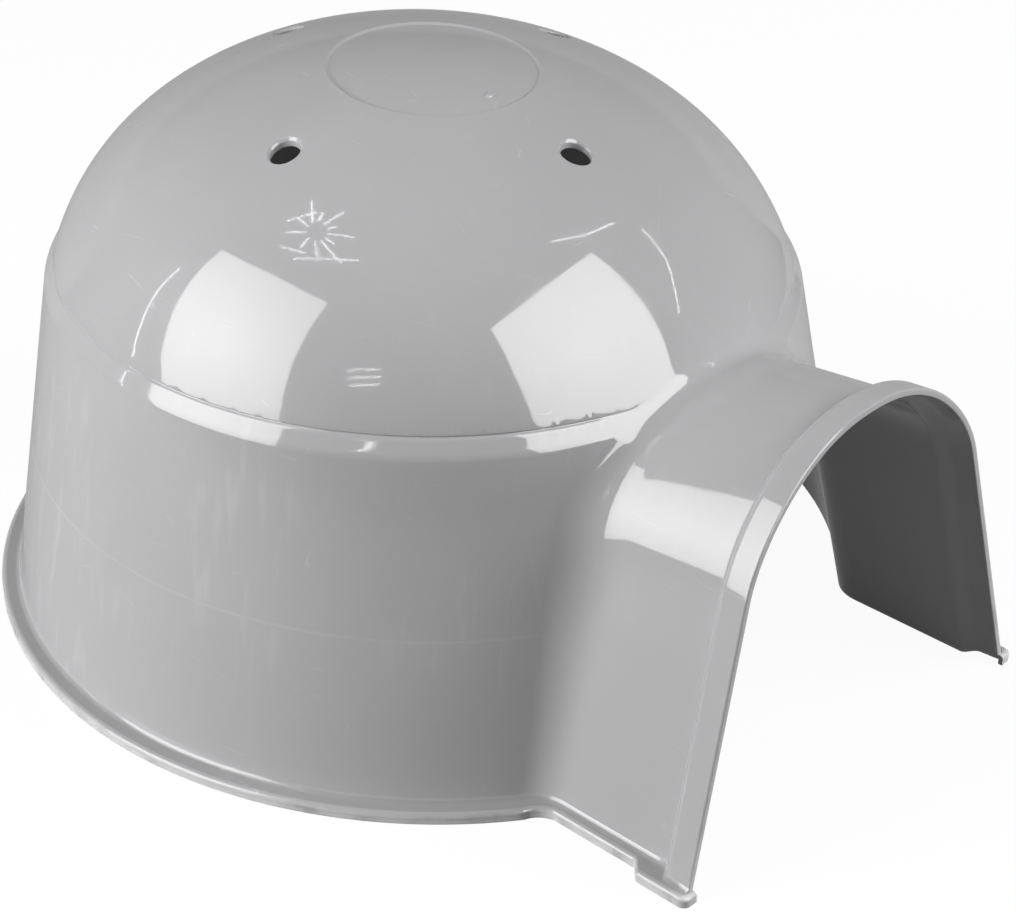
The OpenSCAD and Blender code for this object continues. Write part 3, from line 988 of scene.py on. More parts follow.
    def build_gate_mark(self, name: str) -> None:
        """The stub left where the plastic was fed in.

        Args:
            name: the piece that it stands on.
        """
        crown, turn = self.crown, full_turn(self.crown.gate_sides)
        oval = flat(crown.gate_width / 2 * np.sin(turn), crown.gate_length / 2 * np.cos(turn))
        middle = np.array([crown.gate_x, -crown.gate_y])
        profile = [(share * oval + middle, rise * crown.gate_height) for share, rise in crown.gate_profile]
        rings = np.stack([self.on_roof(plan, 0.0, rise) for plan, rise in profile])
        self.moulding.grid(name, rings, ring=True)
        self.moulding.cap(name, rings[0])
        self.moulding.cap(name, rings[-1], Shading.SKIN)

    @staticmethod
    def beside(line: Array, out: Array, across: Array, z: float) -> Array:
        """Points at a distance outside the foot's line, at a level."""
        points = line + out * across[:, None]
        points[:, 2] = z
        return points

    def build_foot(self) -> None:
        """The flange and the skirt."""
        foot = self.foot
        line, above, out, width = self.foot_path()
        inside, edge = np.maximum(foot.least, width - foot.skirt), np.maximum(width, 2 * foot.least)
        self.build_flange(line, above, out, inside)
        self.build_skirt(*self.skirt_path(line, out, inside, edge))

    def build_flange(self, line: Array, above: Array, out: Array, inside: Array) -> None:
        """The ledge and its fillet.

        Args:
            line: the foot's points.
            above: the points where the fillet ends.
            out: the ways out.
            inside: distance to the skirt's inner face.
        """
        foot, fillet = self.foot, []
        for turn in quarter_turn(foot.round_steps):
            share, up = 1 - math.sin(turn), 1 - math.cos(turn)
            across = np.minimum(foot.fillet, inside) * share
            fillet.append(self.beside(line * (1 - up) + above * up, out, across, foot.height + foot.fillet * up))
        at = partial(self.beside, line, out)
        hidden = [at(inside, foot.ledge), at(inside * 0, foot.ledge)]
        self.sweep("base_flange_shell", [*fillet[::-1], at(inside, foot.height)], hidden)

    def build_skirt(self, line: Array, out: Array, inside: Array, edge: Array) -> None:
        """The down-turned bead, with its parting line.

        Args:
            line: the skirt's points.
            out: the ways out.
            inside: distance to its inner face.
            edge: distance to its outer face.
        """
        foot, at = self.foot, partial(self.beside, line, out)
        bead = np.minimum(foot.bead, (edge - inside) * foot.bead_share)
        seen = [at(inside, foot.height)]
        for turn in quarter_turn(foot.round_steps):
            seen.append(at(edge - bead + bead * math.sin(turn), foot.height - foot.bead * (1 - math.cos(turn))))
        middle, half = foot.parting_z, foot.parting_half
        parting = ((0.0, middle + half), (foot.parting, middle), (0.0, middle - half))
        seen += [at(edge - back, z) for back, z in (*parting, *foot.outer_edge)]
        seen += [at(inside + ahead, z) for ahead, z in (*foot.inner_edge, (0.0, foot.ledge))]
        self.sweep("rim_skirt_shell", seen, [])

    def sweep(self, name: str, seen: list, hidden: list) -> None:
        """Adds a section carried along the foot.

        Args:
            name: the piece.
            seen: lines of points whose faces show, in order over the section.
            hidden: more lines, which carry on round to the first.
        """
        self.moulding.grid(name, np.stack(seen))
        self.moulding.grid(name, np.stack([seen[-1], *hidden, seen[0]]), Shading.FLAT)
        for end in (0, -1):
            self.moulding.cap(name, np.array([line[end] for line in (*seen, *hidden)]))

    def skirt_path(self, line: Array, out: Array, inside: Array, edge: Array) -> tuple[Array, Array, Array, Array]:
        """Turns the skirt's ends round the foot's corners, to run in front of the lip.

        Args:
            line: the foot's points.
            out: the ways out.
            inside: distance to the skirt's inner face.
            edge: distance to its outer face.

        Returns:
            The same four for the skirt.
        """
        foot, steps, toes = self.foot, self.foot.corner_steps, self.foot.toe_steps
        turns = quarter_turn(steps)
        corner = line[steps] + [edge[steps] - foot.corner, 0.0, 0.0]
        front = np.linspace(line[0][0] - self.body.wall, corner[0], toes + 1)[:-1]
        centres = np.concatenate([stack(front, corner[1], corner[2]), np.tile(corner, (steps + 1, 1))])
        ways = np.concatenate([np.tile([0.0, -1.0, 0.0], (toes, 1)), stack(np.sin(turns), -np.cos(turns), 0.0)])
        middle = slice(steps + 1, len(line) - steps - 1)
        path = np.concatenate([centres, line[middle], mirror(centres[::-1])])
        way = np.concatenate([ways, out[middle], mirror(ways[::-1])])
        toe = np.full(len(centres), foot.inner_corner)
        ends = ((toe, inside), (toe + foot.skirt, edge))
        return path, way, *[np.concatenate([end, reach[middle], end]) for end, reach in ends]

    def foot_path(self) -> tuple[Array, Array, Array, Array]:
        """The wall's foot from the mouth's right side round the back to its left side.

        Returns:
            The foot's points, the points where the fillet ends, the ways out, and the flange's widths.
        """
        foot, tunnel = self.foot, self.tunnel
        turns = quarter_turn(foot.corner_steps)
        round_corner = tunnel.lip - foot.inner_corner * (1 - np.cos(turns))
        along_jog = foot.jog_l * (0.5 - even_shares(foot.jog_steps)) - foot.jog_y
        reach = np.concatenate([round_corner, [tunnel.ramp, 0.0], along_jog])
        flare = tunnel.flare * (reach - tunnel.ramp) / (tunnel.lip - tunnel.ramp)
        grow = np.where(reach > 0, tunnel.step + flare, 0.0)
        wide = foot.side + foot.jog
        corner = wide - grow[: len(turns)] - foot.inner_corner * (1 - np.sin(turns))
        jog = foot.side + foot.jog * (1 + np.cos(np.linspace(0.0, math.pi, foot.jog_steps + 1))) / 2
        blend = foot.width + (foot.side - foot.width) * np.linspace(1.0, 0.0, tunnel.blend_steps + 1)[:-1]
        widths = np.concatenate([corner, [wide - tunnel.step, wide], jog, blend])
        lines = []
        for level in (0, 1):
            mouth = tunnel.mouth_points(tunnel.shares[0.0][level : level + 1, None], reach, grow)[0]
            right = np.concatenate([mouth, tunnel.blend(0.0)[level][::-1][:-1]])
            lines.append(np.concatenate([right, self.wall_rows(0.0)[level], mirror(right[::-1])]))
        width = np.concatenate([widths, np.full(self.body.columns + 1, foot.width), widths[::-1]])
        ahead = np.diff(lines[0][:, :2], axis=0)
        ahead /= np.linalg.norm(ahead, axis=1, keepdims=True)
        side = flat(ahead[:, 1], -ahead[:, 0])
        way = np.zeros((len(width), 3))
        way[1:-1, :2] = (side[:-1] + side[1:]) / (1 + np.sum(side[:-1] * side[1:], axis=1, keepdims=True))
        way[: len(reach)] = [1.0, 0.0, 0.0]
        way[-len(reach) :] = [-1.0, 0.0, 0.0]
        return *lines, way, width

    def build(self) -> dict[str, bpy.types.Object]:
        """Builds all pieces of the moulding.

        Returns:
            One object for each piece, by name.
        """
        self.tunnel.set_levels(self.body.levels(self.foot.ledge, self.foot.fillet_top))
        for step in (self.build_wall, self.build_tunnel, self.build_roof, self.build_crown, self.build_foot):
            step()
        return self.moulding.build()


@dataclass
class Graph:
    """Adds nodes to a node tree with few words. A value is a number, a colour, or another node's output."""

    tree: bpy.types.NodeTree

    def fill(self, node: bpy.types.Node, inputs: dict) -> bpy.types.Node:
        """Sets or links inputs of a node.

        Args:
            node: the node.
            inputs: what each input takes.

        Returns:
            The node.
        """
        for name, value in inputs.items():
            if isinstance(value, Socket):
                self.tree.links.new(value, node.inputs[name])
            else:
                node.inputs[name].default_value = value
        return node

    def put(self, kind: str, inputs: dict | None = None, **settings: object) -> bpy.types.Node:
        """Adds a node.

        Args:
            kind: the node's type.
            inputs: what each input takes.
            settings: the node's own settings.

        Returns:
            The node.
        """
        node = self.tree.nodes.new(kind)
        for name, value in settings.items():
            setattr(node, name, value)
        return self.fill(node, inputs or {})

    def calc(self, operation: str, *values: Socket | float) -> Socket:
        """The output of a sum."""
        return self.put("ShaderNodeMath", dict(enumerate(values)), operation=operation).outputs[0]

    def times(self, *values: Socket | float) -> Socket:
        """The product of two or more values."""
        return reduce(partial(self.calc, "MULTIPLY"), values)

    def plus(self, *values: Socket | float) -> Socket:
        """The sum of two or more values."""
        return reduce(partial(self.calc, "ADD"), values)

    def less(self, value: Socket | float, taken: Socket | float) -> Socket:
        """The difference of two values."""
        return self.calc("SUBTRACT", value, taken)

    def peak(self, distance: Socket, reach: Socket) -> Socket:
        """A mask that is 1 at no distance and falls to 0 over a reach."""
        return self.calc("MAXIMUM", self.less(1.0, self.calc("DIVIDE", distance, reach)), 0.0)

    def ramp(self, value: Socket, low: float, high: float) -> Socket:
        """Turns a value that runs from low to high into one that runs smoothly from 0 to 1."""
        settings = {"Value": value, "From Min": low, "From Max": high}
        return self.put("ShaderNodeMapRange", settings, interpolation_type="SMOOTHSTEP").outputs["Result"]

    def noise(self, vector: Socket, scale: Socket | float, detail: float = 1.0) -> Socket:
        """Smooth noise from 0 to 1."""
        return self.put("ShaderNodeTexNoise", {"Vector": vector, "Scale": scale, "Detail": detail}).outputs[0]

    def axes(self, vector: Socket) -> bpy.types.bpy_prop_collection:
        """The parts X, Y and Z of a place."""
        return self.put("ShaderNodeSeparateXYZ", {"Vector": vector}).outputs

    def tint(self, share: Socket, first: tuple | Socket, second: tuple) -> Socket:
        """Blends two colours by a share."""
        inputs = {0: share, 6: first, 7: second}
        return self.put("ShaderNodeMix", inputs, data_type="RGBA").outputs[2]

    def show(self, shader: bpy.types.Node, output: str = "Material Output") -> None:
        """Sends a shader to the tree's output."""
        self.fill(self.tree.nodes[output], {"Surface": shader.outputs[0]})


def new_material(name: str) -> tuple[Material, Graph]:
    """A material with nodes, and what adds to them."""
    made = bpy.data.materials.new(name)
    made.use_nodes = True
    return made, Graph(made.node_tree)


def opaque(colour: tuple, share: float = 1.0) -> tuple:
    """A colour with its fourth number, darkened to a share."""
    return (*(value * share for value in colour), 1.0)


SHARED = ("wavy_skin", "drag_marks", "fine_scratches", "dust", "edge_wear", "level_band")


class Effects:
    """The shared shader node groups for how the moulding has been made and used, and for the painted shade along its
    ledge.
    """

    @staticmethod
    def start(name: str, inputs: dict[str, float], outputs: tuple = ("Mask",)) -> tuple[Graph, dict[str, Socket]]:
        """Opens a node group with named inputs and outputs.

        Args:
            name: the group's name.
            inputs: its numbers, beside the vector.
            outputs: its outputs.

        Returns:
            The graph, and the inputs by name.
        """
        tree = bpy.data.node_groups.new(name, "ShaderNodeTree")
        tree.interface.new_socket(name="Vector", in_out="INPUT", socket_type="NodeSocketVector")
        for key, value in inputs.items():
            tree.interface.new_socket(name=key, in_out="INPUT", socket_type="NodeSocketFloat").default_value = value
        for key in outputs:
            tree.interface.new_socket(name=key, in_out="OUTPUT", socket_type="NodeSocketFloat")
        graph = Graph(tree)
        return graph, {socket.name: socket for socket in graph.put("NodeGroupInput").outputs if socket.name}

    @staticmethod
    def close(graph: Graph, **outputs: Socket) -> bpy.types.NodeTree:
        """Links a group's outputs, and gives the group."""
        graph.put("NodeGroupOutput", outputs)
        return graph.tree

    def wavy_skin(self) -> bpy.types.NodeTree:
        """The slow unevenness of a large thin moulding, and its faint orange peel.

        Returns:
            The group, which puts out a height.
        """
        graph, given = self.start("wavy_skin", {"Depth": 2e-5}, ("Height",))
        slow = graph.times(graph.noise(given["Vector"], scale=34.0), given["Depth"])
        peel = graph.times(graph.noise(given["Vector"], scale=620.0, detail=2.0), graph.times(given["Depth"], 0.02))
        return self.close(graph, Height=graph.plus(slow, peel))

    def drag_marks(self) -> bpy.types.NodeTree:
        """Upright streaks where the moulding slid off its mould, in patches.

        Returns:
            The group, which puts out a height and a mask.
        """
        numbers = {"Depth": 3e-6, "Reach": 0.035, "Noise": 0.5}
        graph, given = self.start("drag_marks", numbers, ("Height", "Mask"))
        tall = graph.put("ShaderNodeCombineXYZ", {"X": 1.0, "Y": 1.0, "Z": given["Reach"]}).outputs[0]
        thin = graph.put("ShaderNodeVectorMath", {0: given["Vector"], 1: tall}, operation="MULTIPLY").outputs[0]
        streak = graph.noise(thin, scale=240.0, detail=2.0)
        patch = graph.ramp(given["Noise"], low=0.40, high=0.62)
        height = graph.times(streak, given["Depth"], graph.plus(patch, 0.25))
        return self.close(graph, Height=height, Mask=graph.times(graph.ramp(streak, low=0.52, high=0.72), patch))

    def fine_scratches(self) -> bpy.types.NodeTree:
        """One layer of hair-thin scratches, where smooth noise crosses its middle value.

        Returns:
            The group, which puts out a mask.
        """
        graph, given = self.start("fine_scratches", {"Scale": 40.0, "Width": 0.002})
        noise = graph.noise(given["Vector"], given["Scale"], detail=0.0)
        return self.close(graph, Mask=graph.peak(graph.calc("ABSOLUTE", graph.less(noise, 0.5)), given["Width"]))

    def dust(self) -> bpy.types.NodeTree:
        """Small pale specks.

        Returns:
            The group, which puts out a mask.
        """
        graph, given = self.start("dust", {"Scale": 160.0, "Size": 0.05, "Rarity": 0.972})
        cells = graph.put("ShaderNodeTexVoronoi", {"Vector": given["Vector"], "Scale": given["Scale"]}).outputs
        pick = graph.put("ShaderNodeSeparateColor", {"Color": cells["Color"]}).outputs[0]
        kept = graph.calc("GREATER_THAN", pick, given["Rarity"])
        return self.close(graph, Mask=graph.times(graph.peak(cells["Distance"], given["Size"]), kept))

    def edge_wear(self) -> bpy.types.NodeTree:
        """Rubbed plastic at the foot and round the mouth.

        Returns:
            The group, which puts out a mask.
        """
        graph, given = self.start("edge_wear", {"Foot": 0.0026, "Mouth": -0.1376, "Noise": 0.5})
        place = graph.axes(given["Vector"])
        foot = graph.ramp(graph.less(given["Foot"], place["Z"]), low=-0.0004, high=0.0008)
        mouth = graph.ramp(graph.less(given["Mouth"], place["Y"]), low=-0.0006, high=0.0006)
        uneven = graph.ramp(given["Noise"], low=0.2, high=0.55)
        return self.close(graph, Mask=graph.times(graph.calc("MAXIMUM", foot, mouth), uneven))

    def level_band(self) -> bpy.types.NodeTree:
        """A band at one level of the moulding, such as a witness line or the painted shade on the ledge.

        Returns:
            The group, which puts out a mask.
        """
        graph, given = self.start("level_band", {"Level": 0.0468, "Width": 0.0005, "Noise": 0.5})
        off = graph.calc("ABSOLUTE", graph.less(graph.axes(given["Vector"])["Z"], given["Level"]))
        band = graph.ramp(graph.peak(off, given["Width"]), low=0.0, high=0.6)
        return self.close(graph, Mask=graph.times(band, graph.ramp(given["Noise"], low=0.25, high=0.6)))


@dataclass(frozen=True)
class GreyPlastic:
    """Gloss grey polypropylene as one region of the moulding shows it.

    Lengths are in metres here. Each layer of hairs has a turn, a stretch and a scale. A line has a level and a width.
    """

    name: str
    waves: float = 1.2e-4
    drag: float = 3e-6
    streaks: float = 0.04
    scratches: float = 0.8
    # Painted shade: the ledge and the fillet's foot are darkened by this share, in a band at the ledge's level.
    ledge_shade: float = 0.0
    witness: float = 0.0
    wear: float = 0.5
    colour: tuple = (0.445, 0.443, 0.452)
    mottle: float = 0.955
    hair_pale: float = 0.55
    dust_pale: float = 0.5
    pale: tuple = (0.66, 0.66, 0.66)
    shade_tone: tuple = (0.22, 0.215, 0.215)
    # Colour of the painted shade on the ledge.
    roughness: float = 0.045
    smudge_rough: float = 0.04
    mark_rough: float = 0.5
    # How much rougher the painted shade on the ledge makes the surface.
    shade_rough: float = 0.2
    ior: float = 1.49
    hairs: tuple = (((0.3, 0.5, 0.2), 9.0, 55.0), ((0.9, -0.4, 1.3), 14.0, 40.0))
    hair_width: float = 0.0022
    witness_line: tuple = (0.0468, 0.0007)
    # Level and width of the band of painted shade on the ledge, where it meets the wall.
    ledge_shade_line: tuple = (0.0031, 0.0009)

    def hair_lines(self, graph: Graph, groups: dict, place: Socket, fine: Socket) -> Socket:
        """The fine scratches, in patches.

        Args:
            graph: the material's nodes.
            groups: the shared node groups by name.
            place: where on the object.
            fine: fine noise, which breaks them up.

        Returns:
            Their mask.
        """
        layers = []
        for turn, stretch, scale in self.hairs:
            view = {"Vector": place, "Scale": (1.0, 1.0 / stretch, 1.0), "Rotation": turn}
            stretched = graph.put("ShaderNodeMapping", view).outputs[0]
            inputs = {"Vector": stretched, "Scale": scale, "Width": self.hair_width}
            layers.append(graph.put("ShaderNodeGroup", inputs, node_tree=groups["fine_scratches"]).outputs[0])
        return graph.times(graph.calc("MAXIMUM", *layers), self.scratches, graph.ramp(fine, low=0.54, high=0.66))

    def material(self, groups: dict[str, bpy.types.NodeTree]) -> Material:
        """Makes the material.

        Args:
            groups: the shared node groups by name.

        Returns:
            The material.
        """
        made, graph = new_material(self.name)
        place = graph.put("ShaderNodeTexCoord").outputs["Object"]
        broad = graph.noise(place, scale=16.0, detail=2.0)
        fine = graph.noise(place, scale=120.0, detail=3.0)

        def use(name: str, **numbers: Socket | float) -> bpy.types.bpy_prop_collection:
            """Puts a shared group, and gives its outputs."""
            return graph.put("ShaderNodeGroup", {"Vector": place, **numbers}, node_tree=groups[name]).outputs

        waves = use("wavy_skin", Depth=self.waves)["Height"]
        drag = use("drag_marks", Depth=self.drag, Noise=broad)
        scratch = self.hair_lines(graph, groups, place, fine)
        wear = use("edge_wear", Noise=fine)["Mask"]
        # The witness line's mask, and the mask of the painted shade on the ledge.
        witness, ledge_shade = (
            use("level_band", Level=level, Width=width, Noise=noise)["Mask"]
            for (level, width), noise in ((self.witness_line, broad), (self.ledge_shade_line, 0.6))
        )
        marks = graph.times(drag["Mask"], self.streaks)
        layers = [(scratch, self.hair_pale), (use("dust")["Mask"], self.dust_pale)]
        for mask, share in (*layers, (wear, self.wear), (witness, self.witness)):
            marks = graph.calc("MAXIMUM", marks, graph.times(mask, share))
        # Painted shade: darkens the ledge where it meets the wall.
        painted_shade = graph.times(ledge_shade, self.ledge_shade)
        clean = graph.tint(graph.ramp(broad, low=0.3, high=0.7), opaque(self.colour, self.mottle), opaque(self.colour))
        colour = graph.tint(painted_shade, graph.tint(marks, clean, opaque(self.pale)), opaque(self.shade_tone))
        smudge = graph.times(graph.ramp(fine, low=0.4, high=0.8), self.smudge_rough)
        worn, rough_in_shade = graph.times(marks, self.mark_rough), graph.times(painted_shade, self.shade_rough)
        rough = graph.plus(smudge, self.roughness, worn, rough_in_shade)
        height = graph.plus(waves, drag["Height"])
        bump = graph.put("ShaderNodeBump", {"Height": height, "Distance": 1.0, "Strength": 1.0}).outputs[0]
        looks = {"Base Color": colour, "Roughness": rough, "IOR": self.ior, "Normal": bump}
        graph.fill(graph.tree.nodes["Principled BSDF"], looks)
        return made


@dataclass(frozen=True)
class SoftBox:
    """A lamp's place, the way it spreads across and up, in metres, and how bright its face is.

    It lights the plastic's colour alone. Its gloss shows the cards instead.
    """

    name: str
    middle: tuple
    across: tuple
    up: tuple
    radiance: float

    def build(self) -> None:
        """Makes the lamp."""
        across, up = Vector(self.across), Vector(self.up)
        x, z = across.normalized(), across.cross(up).normalized()
        data = bpy.data.lights.new(self.name, "AREA")
        data.shape = "RECTANGLE"
        data.size, data.size_y = across.length, up.length
        data.energy = self.radiance * math.pi * across.length * up.length
        lamp = put_in_scene(self.name, data)
        lamp.matrix_world = Matrix.Translation(self.middle) @ Matrix((x, z.cross(x), z)).transposed().to_4x4()
        lamp.visible_glossy = False


@dataclass(frozen=True)
class Card:
    """The bright face of a soft box as the gloss shows it: four corners in metres.

    Its radiance is that at its middle, and falls by a number for each metre away from there.
    """

    name: str
    corners: tuple
    radiance: float
    fade: float

    @property
    def middle(self) -> tuple:
        """The middle of its corners."""
        return tuple(float(value) for value in np.mean(self.corners, axis=0))


@dataclass(frozen=True)
class Glint:
    """A thin bright strip of the room, which only the gloss shows, between two directions in degrees."""

    seen_from: tuple
    turns: tuple
    heights: tuple
    width: float = 0.007
    distance: float = 1.0

    def end(self, turn: float, height: float) -> Vector:
        """The place of one end.

        Args:
            turn: its turn round the hut.
            height: its height over the horizon.

        Returns:
            The place, in metres.
        """
        turn, height = math.radians(turn), math.radians(height)
        level = math.cos(height)
        way = Vector((math.sin(turn) * level, -math.cos(turn) * level, math.sin(height)))
        return Vector(self.seen_from) + way * self.distance

    def corners(self) -> list:
        """The strip's four corners."""
        a, b = (self.end(turn, height) for turn, height in zip(self.turns, self.heights))
        side = (b - a).cross(a - Vector(self.seen_from)).normalized() * self.width / 2
        return [tuple(point) for point in (a - side, a + side, b + side, b - side)]


@dataclass(frozen=True)
class LampHead:
    """A lamp head with its spokes, as the dome's left side shows it: a star of glints. Angles are in degrees."""

    seen_from: tuple
    turn: float = -138.0
    height: float = 65.0
    spokes: int = 11
    wide: float = 1.5
    inner: float = 2.4
    outer: float = 6.6
    vary: float = 2.0
    uneven: float = 3.0

    def glints(self) -> list[Glint]:
        """Makes the star.

        Returns:
            One glint for each spoke.
        """
        found = []
        for spoke in range(self.spokes):
            turn = math.radians(spoke * 360 / self.spokes)
            x, y = self.wide * math.cos(turn), math.sin(turn)
            reaches = (self.inner, self.outer + self.vary * math.cos(self.uneven * spoke))
            turns = tuple(self.turn + reach * x / math.cos(math.radians(self.height)) for reach in reaches)
            found.append(Glint(self.seen_from, turns, tuple(self.height + reach * y for reach in reaches)))
        return found


@dataclass
class Studio:
    """The floor, the lamps, the dark room that the gloss shows, and the camera. Lengths are in metres."""

    eye: tuple = (-0.4379, -0.43624, 0.4247)
    aim: tuple = (-0.00375, -0.02572, 0.05)
    roll: float = -0.54
    lens: float = 93.04
    sensor: float = 36.0
    clip_start: float = 0.01
    shift_x: float = -0.0118
    floor_size: float = 12.0
    floor_glow: float = 0.95
    floor_tone: float = 0.13
    floor_seen: float = 0.95
    floor_roughness: float = 0.9
    table_glow: float = 0.3
    table: float = 0.41
    table_gap: float = 0.001
    room: float = 3.0
    room_high: float = 2.2
    room_tone: float = 0.12
    room_sides: int = 96
    world_tone: float = 0.05
    backdrop_high: float = 0.7
    backdrop_tone: float = 0.3
    backdrop_sides: range = range(25, 51)
    lamps: tuple = (
        SoftBox("left_softbox", (-0.854, 0.327, 0.512), (-0.160, -0.576, 0.136), (0.487, -0.020, 0.674), 6.9),
        SoftBox("left_fill", (-0.9, 0.9, 0.6), (-0.57, -0.57, 0.0), (0.25, -0.25, 0.71), 1.6),
        SoftBox("right_fill", (0.7, -0.9, 0.6), (0.55, 0.43, 0.0), (-0.15, 0.2, 0.54), 9.4),
        SoftBox("front_fill", (0.45, -0.8, 0.95), (0.6, 0.3, 0.0), (-0.2, 0.5, 0.5), 2.6),
    )
    cards: tuple = (
        Card(
            "left_card",
            ((-0.53, 0.60, 0.79), (-0.69, 0.03, 0.91), (-1.09, 0.01, 0.03), (-0.92, 0.65, -0.02)),
            radiance=9.8,
            fade=7.0,
        ),
        Card(
            "right_card",
            ((0.375, -0.475, 0.95), (-0.335, -0.635, 0.89), (-0.395, -1.02, 0.16), (0.45, -1.0, 0.22)),
            radiance=10.2,
            fade=4.0,
        ),
    )
    left: tuple = (-0.06, -0.01, 0.13)
    right: tuple = (-0.01, -0.065, 0.13)
    left_edges: tuple = (((-144, -142), (27, 10)), ((-142, -140), (10, -4)))
    right_edges: tuple = (((43, 54), (66, 58)), ((54, 65), (58, 50)), ((65, 56), (42, 34)), ((56, 41), (34, 21)))
    cables: tuple = (
        Glint((-0.065, -0.020, 0.131), (-125, -104), (56, 69)),
        Glint((-0.068, -0.012, 0.132), (-135, -125), (55, 60)),
        Glint((-0.061, -0.008, 0.137), (-150, -155), (58, 65)),
    )
    bars: int = 3
    bar_gap: float = 3.0
    bar_width: float = 0.008
    bars_seen_from: tuple = (-0.073, -0.042, 0.111)
    bar_turns: tuple = (-77, -66)
    bar_heights: tuple = (29.5, 33.0)
    glint_radiance: float = 15.0

    def build_camera(self) -> None:
        """The camera at the photograph's viewing angle."""
        data = bpy.data.cameras.new("camera")
        data.lens, data.sensor_width = self.lens, self.sensor
        data.shift_x, data.clip_start = self.shift_x, self.clip_start
        camera = put_in_scene("camera", data)
        way = Vector(self.aim) - Vector(self.eye)
        turn = way.to_track_quat("-Z", "Y").to_matrix() @ Matrix.Rotation(math.radians(self.roll), 3, "Z")
        camera.matrix_world = Matrix.Translation(self.eye) @ turn.to_4x4()
        bpy.context.scene.camera = camera

    @staticmethod
    def build_stage(name: str, points: list, faces: list, finish: Material) -> bpy.types.Object:
        """Makes a mesh that isn't part of the object.

        Args:
            name: the object's name.
            points: its points.
            faces: its faces, as numbers of points.
            finish: its material.

        Returns:
            The object.
        """
        mesh = bpy.data.meshes.new(name)
        mesh.from_pydata(points, [], faces)
        mesh.materials.append(finish)
        made = put_in_scene(name, mesh)
        return made

    def floor_finish(self) -> Material:
        """A pale floor that the camera sees as nearly white, with the hut's shadow on it.

        Returns:
            The material.
        """
        made, graph = new_material("pale_floor")
        path = graph.put("ShaderNodeLightPath").outputs
        dull, seen = opaque((self.floor_tone,) * 3), opaque((self.floor_seen,) * 3)
        matt = graph.tree.nodes["Principled BSDF"]
        tone = graph.tint(path["Is Camera Ray"], dull, seen)
        graph.fill(matt, {"Roughness": self.floor_roughness, "Base Color": tone})
        white = graph.times(path["Is Camera Ray"], self.floor_glow)
        share = graph.calc("MULTIPLY_ADD", path["Is Glossy Ray"], self.table_glow, white)
        glow = graph.put("ShaderNodeEmission")
        graph.show(graph.put("ShaderNodeMixShader", {0: share, 1: matt.outputs[0], 2: glow.outputs[0]}))
        return made

    def glow(self, name: str, strength: float, fade: float = 0.0, middle: tuple = (0, 0, 0)) -> Material:
        """A glow, even or fading outwards.

        Args:
            name: the material's name.
            strength: how bright it is.
            fade: how much of that it loses for each metre from its middle.
            middle: the place where it is brightest.

        Returns:
            The material.
        """
        made, graph = new_material(name)
        bright = strength
        if fade:
            place = graph.put("ShaderNodeTexCoord").outputs["Object"]
            distance = graph.put("ShaderNodeVectorMath", {0: place, 1: middle}, operation="DISTANCE")
            bright = graph.calc("MULTIPLY_ADD", distance.outputs["Value"], -fade, strength)
        graph.show(graph.put("ShaderNodeEmission", {"Color": WHITE, "Strength": bright}))
        return made

    def glints(self) -> list[Glint]:
        """The thin lights of the room: the soft boxes' edges, a lamp head, its cables and the bars.

        Returns:
            One glint for each thin light.
        """
        found = [Glint(self.left, turns, heights) for turns, heights in self.left_edges]
        found += [Glint(self.right, turns, heights) for turns, heights in self.right_edges]
        found += [*LampHead(self.left).glints(), *self.cables]
        for bar in range(self.bars):
            turns = (self.bar_turns[0] + bar, self.bar_turns[1])
            heights = tuple(height - self.bar_gap * bar for height in self.bar_heights)
            found.append(Glint(self.bars_seen_from, turns, heights, self.bar_width))
        return found

    def build_floor(self) -> None:
        """The floor."""
        half = self.floor_size / 2
        corners = [(-half, -half, 0), (half, -half, 0), (half, half, 0), (-half, half, 0)]
        self.build_stage("floor", corners, [(0, 1, 2, 3)], self.floor_finish())

    def build_walls(self) -> list[bpy.types.Object]:
        """The dark room beyond the table, and the paler backdrop low on one side of it.

        Returns:
            The two objects.
        """
        profile = ((self.table, self.table_gap), (self.room, self.table_gap))
        profile += ((self.room, self.backdrop_high), (self.room, self.room_high))
        points, faces, low = [], [], []
        for i in range(self.room_sides):
            x, y = math.sin(FULL_TURN * i / self.room_sides), -math.cos(FULL_TURN * i / self.room_sides)
            points += [(reach * x, reach * y, z) for reach, z in profile]
            a, b = 4 * i, 4 * ((i + 1) % self.room_sides)
            ground, side, high = ((a + k, b + k, b + k + 1, a + k + 1) for k in range(3))
            faces.append(high)
            if i in self.backdrop_sides:
                low.append(side)
            else:
                faces += [side, ground]
        return [
            self.build_stage("dark_room", points, faces, self.glow("dark_room", self.room_tone)),
            self.build_stage("backdrop", points, low, self.glow("backdrop", self.backdrop_tone)),
        ]

    def build_room(self) -> None:
        """The room, its cards and its thin lights, which only reflections show."""
        room = self.build_walls()
        for card in self.cards:
            face = self.glow(card.name, card.radiance, card.fade, card.middle)
            room.append(self.build_stage(card.name, list(card.corners), [(0, 1, 2, 3)], face))
        strips = [glint.corners() for glint in self.glints()]
        faces = [tuple(range(4 * i, 4 * i + 4)) for i in range(len(strips))]
        thin = self.glow("thin_lights", self.glint_radiance)
        room.append(self.build_stage("room_glints", sum(strips, []), faces, thin))
        for seen in room:
            for ray in ("camera", "diffuse", "transmission", "volume_scatter", "shadow"):
                setattr(seen, f"visible_{ray}", False)

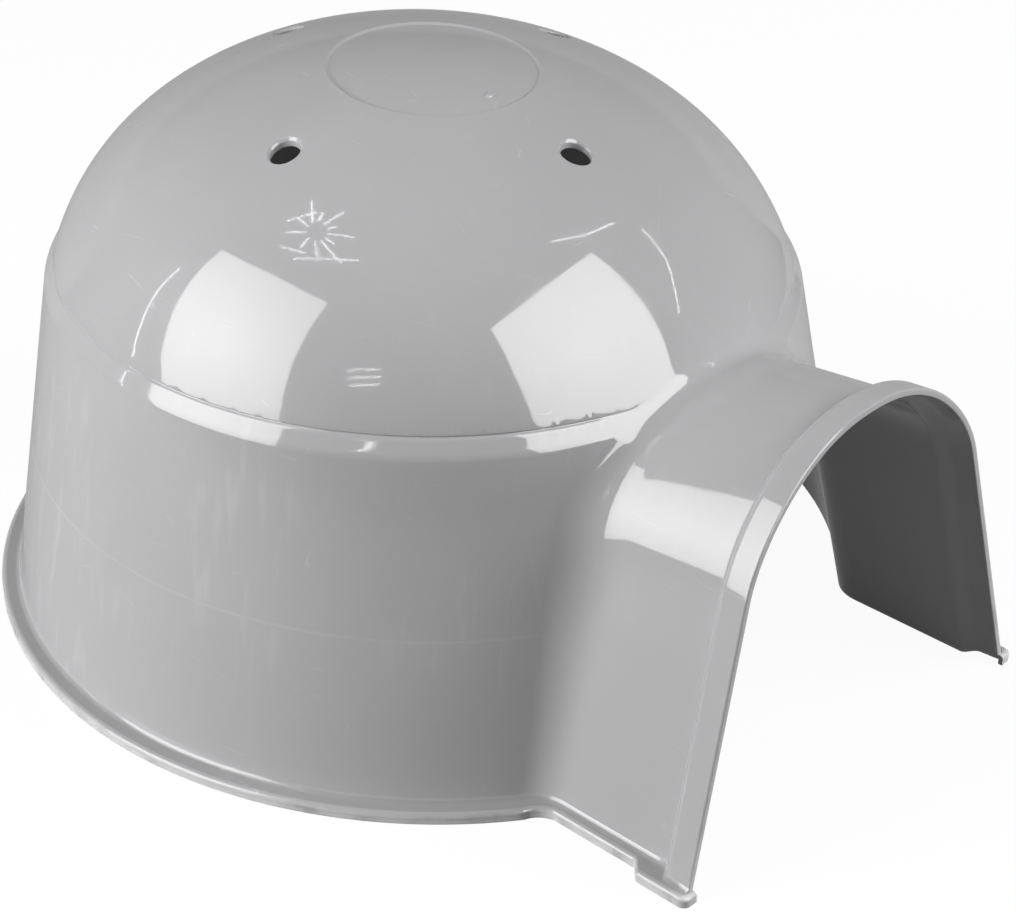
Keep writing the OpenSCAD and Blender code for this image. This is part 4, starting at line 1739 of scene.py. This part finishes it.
    def build_world(self) -> None:
        """A world that the camera sees as white, and everything else as nearly dark."""
        world = bpy.data.worlds.new("studio")
        world.use_nodes = True
        graph = Graph(world.node_tree)
        shade = graph.fill(graph.tree.nodes["Background"], {"Color": opaque((self.world_tone,) * 3)}).outputs[0]
        white = graph.put("ShaderNodeBackground", {"Color": WHITE}).outputs[0]
        path = graph.put("ShaderNodeLightPath").outputs["Is Camera Ray"]
        graph.show(graph.put("ShaderNodeMixShader", {0: path, 1: shade, 2: white}), "World Output")
        bpy.context.scene.world = world
        bpy.context.scene.view_settings.view_transform = "Standard"

    def build(self) -> None:
        """Sets the stage."""
        self.build_camera()
        self.build_floor()
        self.build_room()
        for lamp in self.lamps:
            lamp.build()
        self.build_world()


def main() -> None:
    """Builds the hut and its studio, and reports each piece."""
    body, foot = Body(), Foot()
    back = body.length / 2 - float(body.inset(np.array(foot.ledge))) + foot.width
    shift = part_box("rim_skirt")[1].y / MM - back
    hut = Hut(body, Tunnel(body), Crown(), Vents(), foot, Moulding(shift))
    groups = {name: getattr(Effects(), name)() for name in SHARED}
    roof = GreyPlastic("gloss_plastic_roof").material(groups)
    wall = GreyPlastic("gloss_plastic_wall", drag=1.5e-5, streaks=0.18, scratches=0.45, witness=0.14).material(groups)
    mouth = GreyPlastic("gloss_plastic_mouth", drag=5e-6, scratches=0.5).material(groups)
    # The ledge's plastic is darkened by a painted shade at the ledge's level.
    ledge = GreyPlastic("gloss_plastic_ledge", waves=2e-5, scratches=1.0, ledge_shade=0.4).material(groups)
    rim = GreyPlastic("gloss_plastic_rim", waves=2e-5, scratches=1.0, wear=0.95).material(groups)
    finishes = {"dome_cap": roof, "crown_disc": roof, "base_flange": ledge, "rim_skirt": rim}
    finishes |= {"tunnel_blend": mouth, "entrance_tunnel": mouth, "entrance_lip": mouth}
    for name, piece in hut.build().items():
        piece.data.materials.append(finishes.get(name.removesuffix("_shell"), wall))
        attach(piece, "root")
        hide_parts(name.removesuffix("_shell"))
        LOG.info("%s: %d faces", name, len(piece.data.polygons))
    Studio().build()
    bpy.context.view_layer.update()


if __name__ == "__main__":
    logging.basicConfig(level=logging.INFO)
    main()
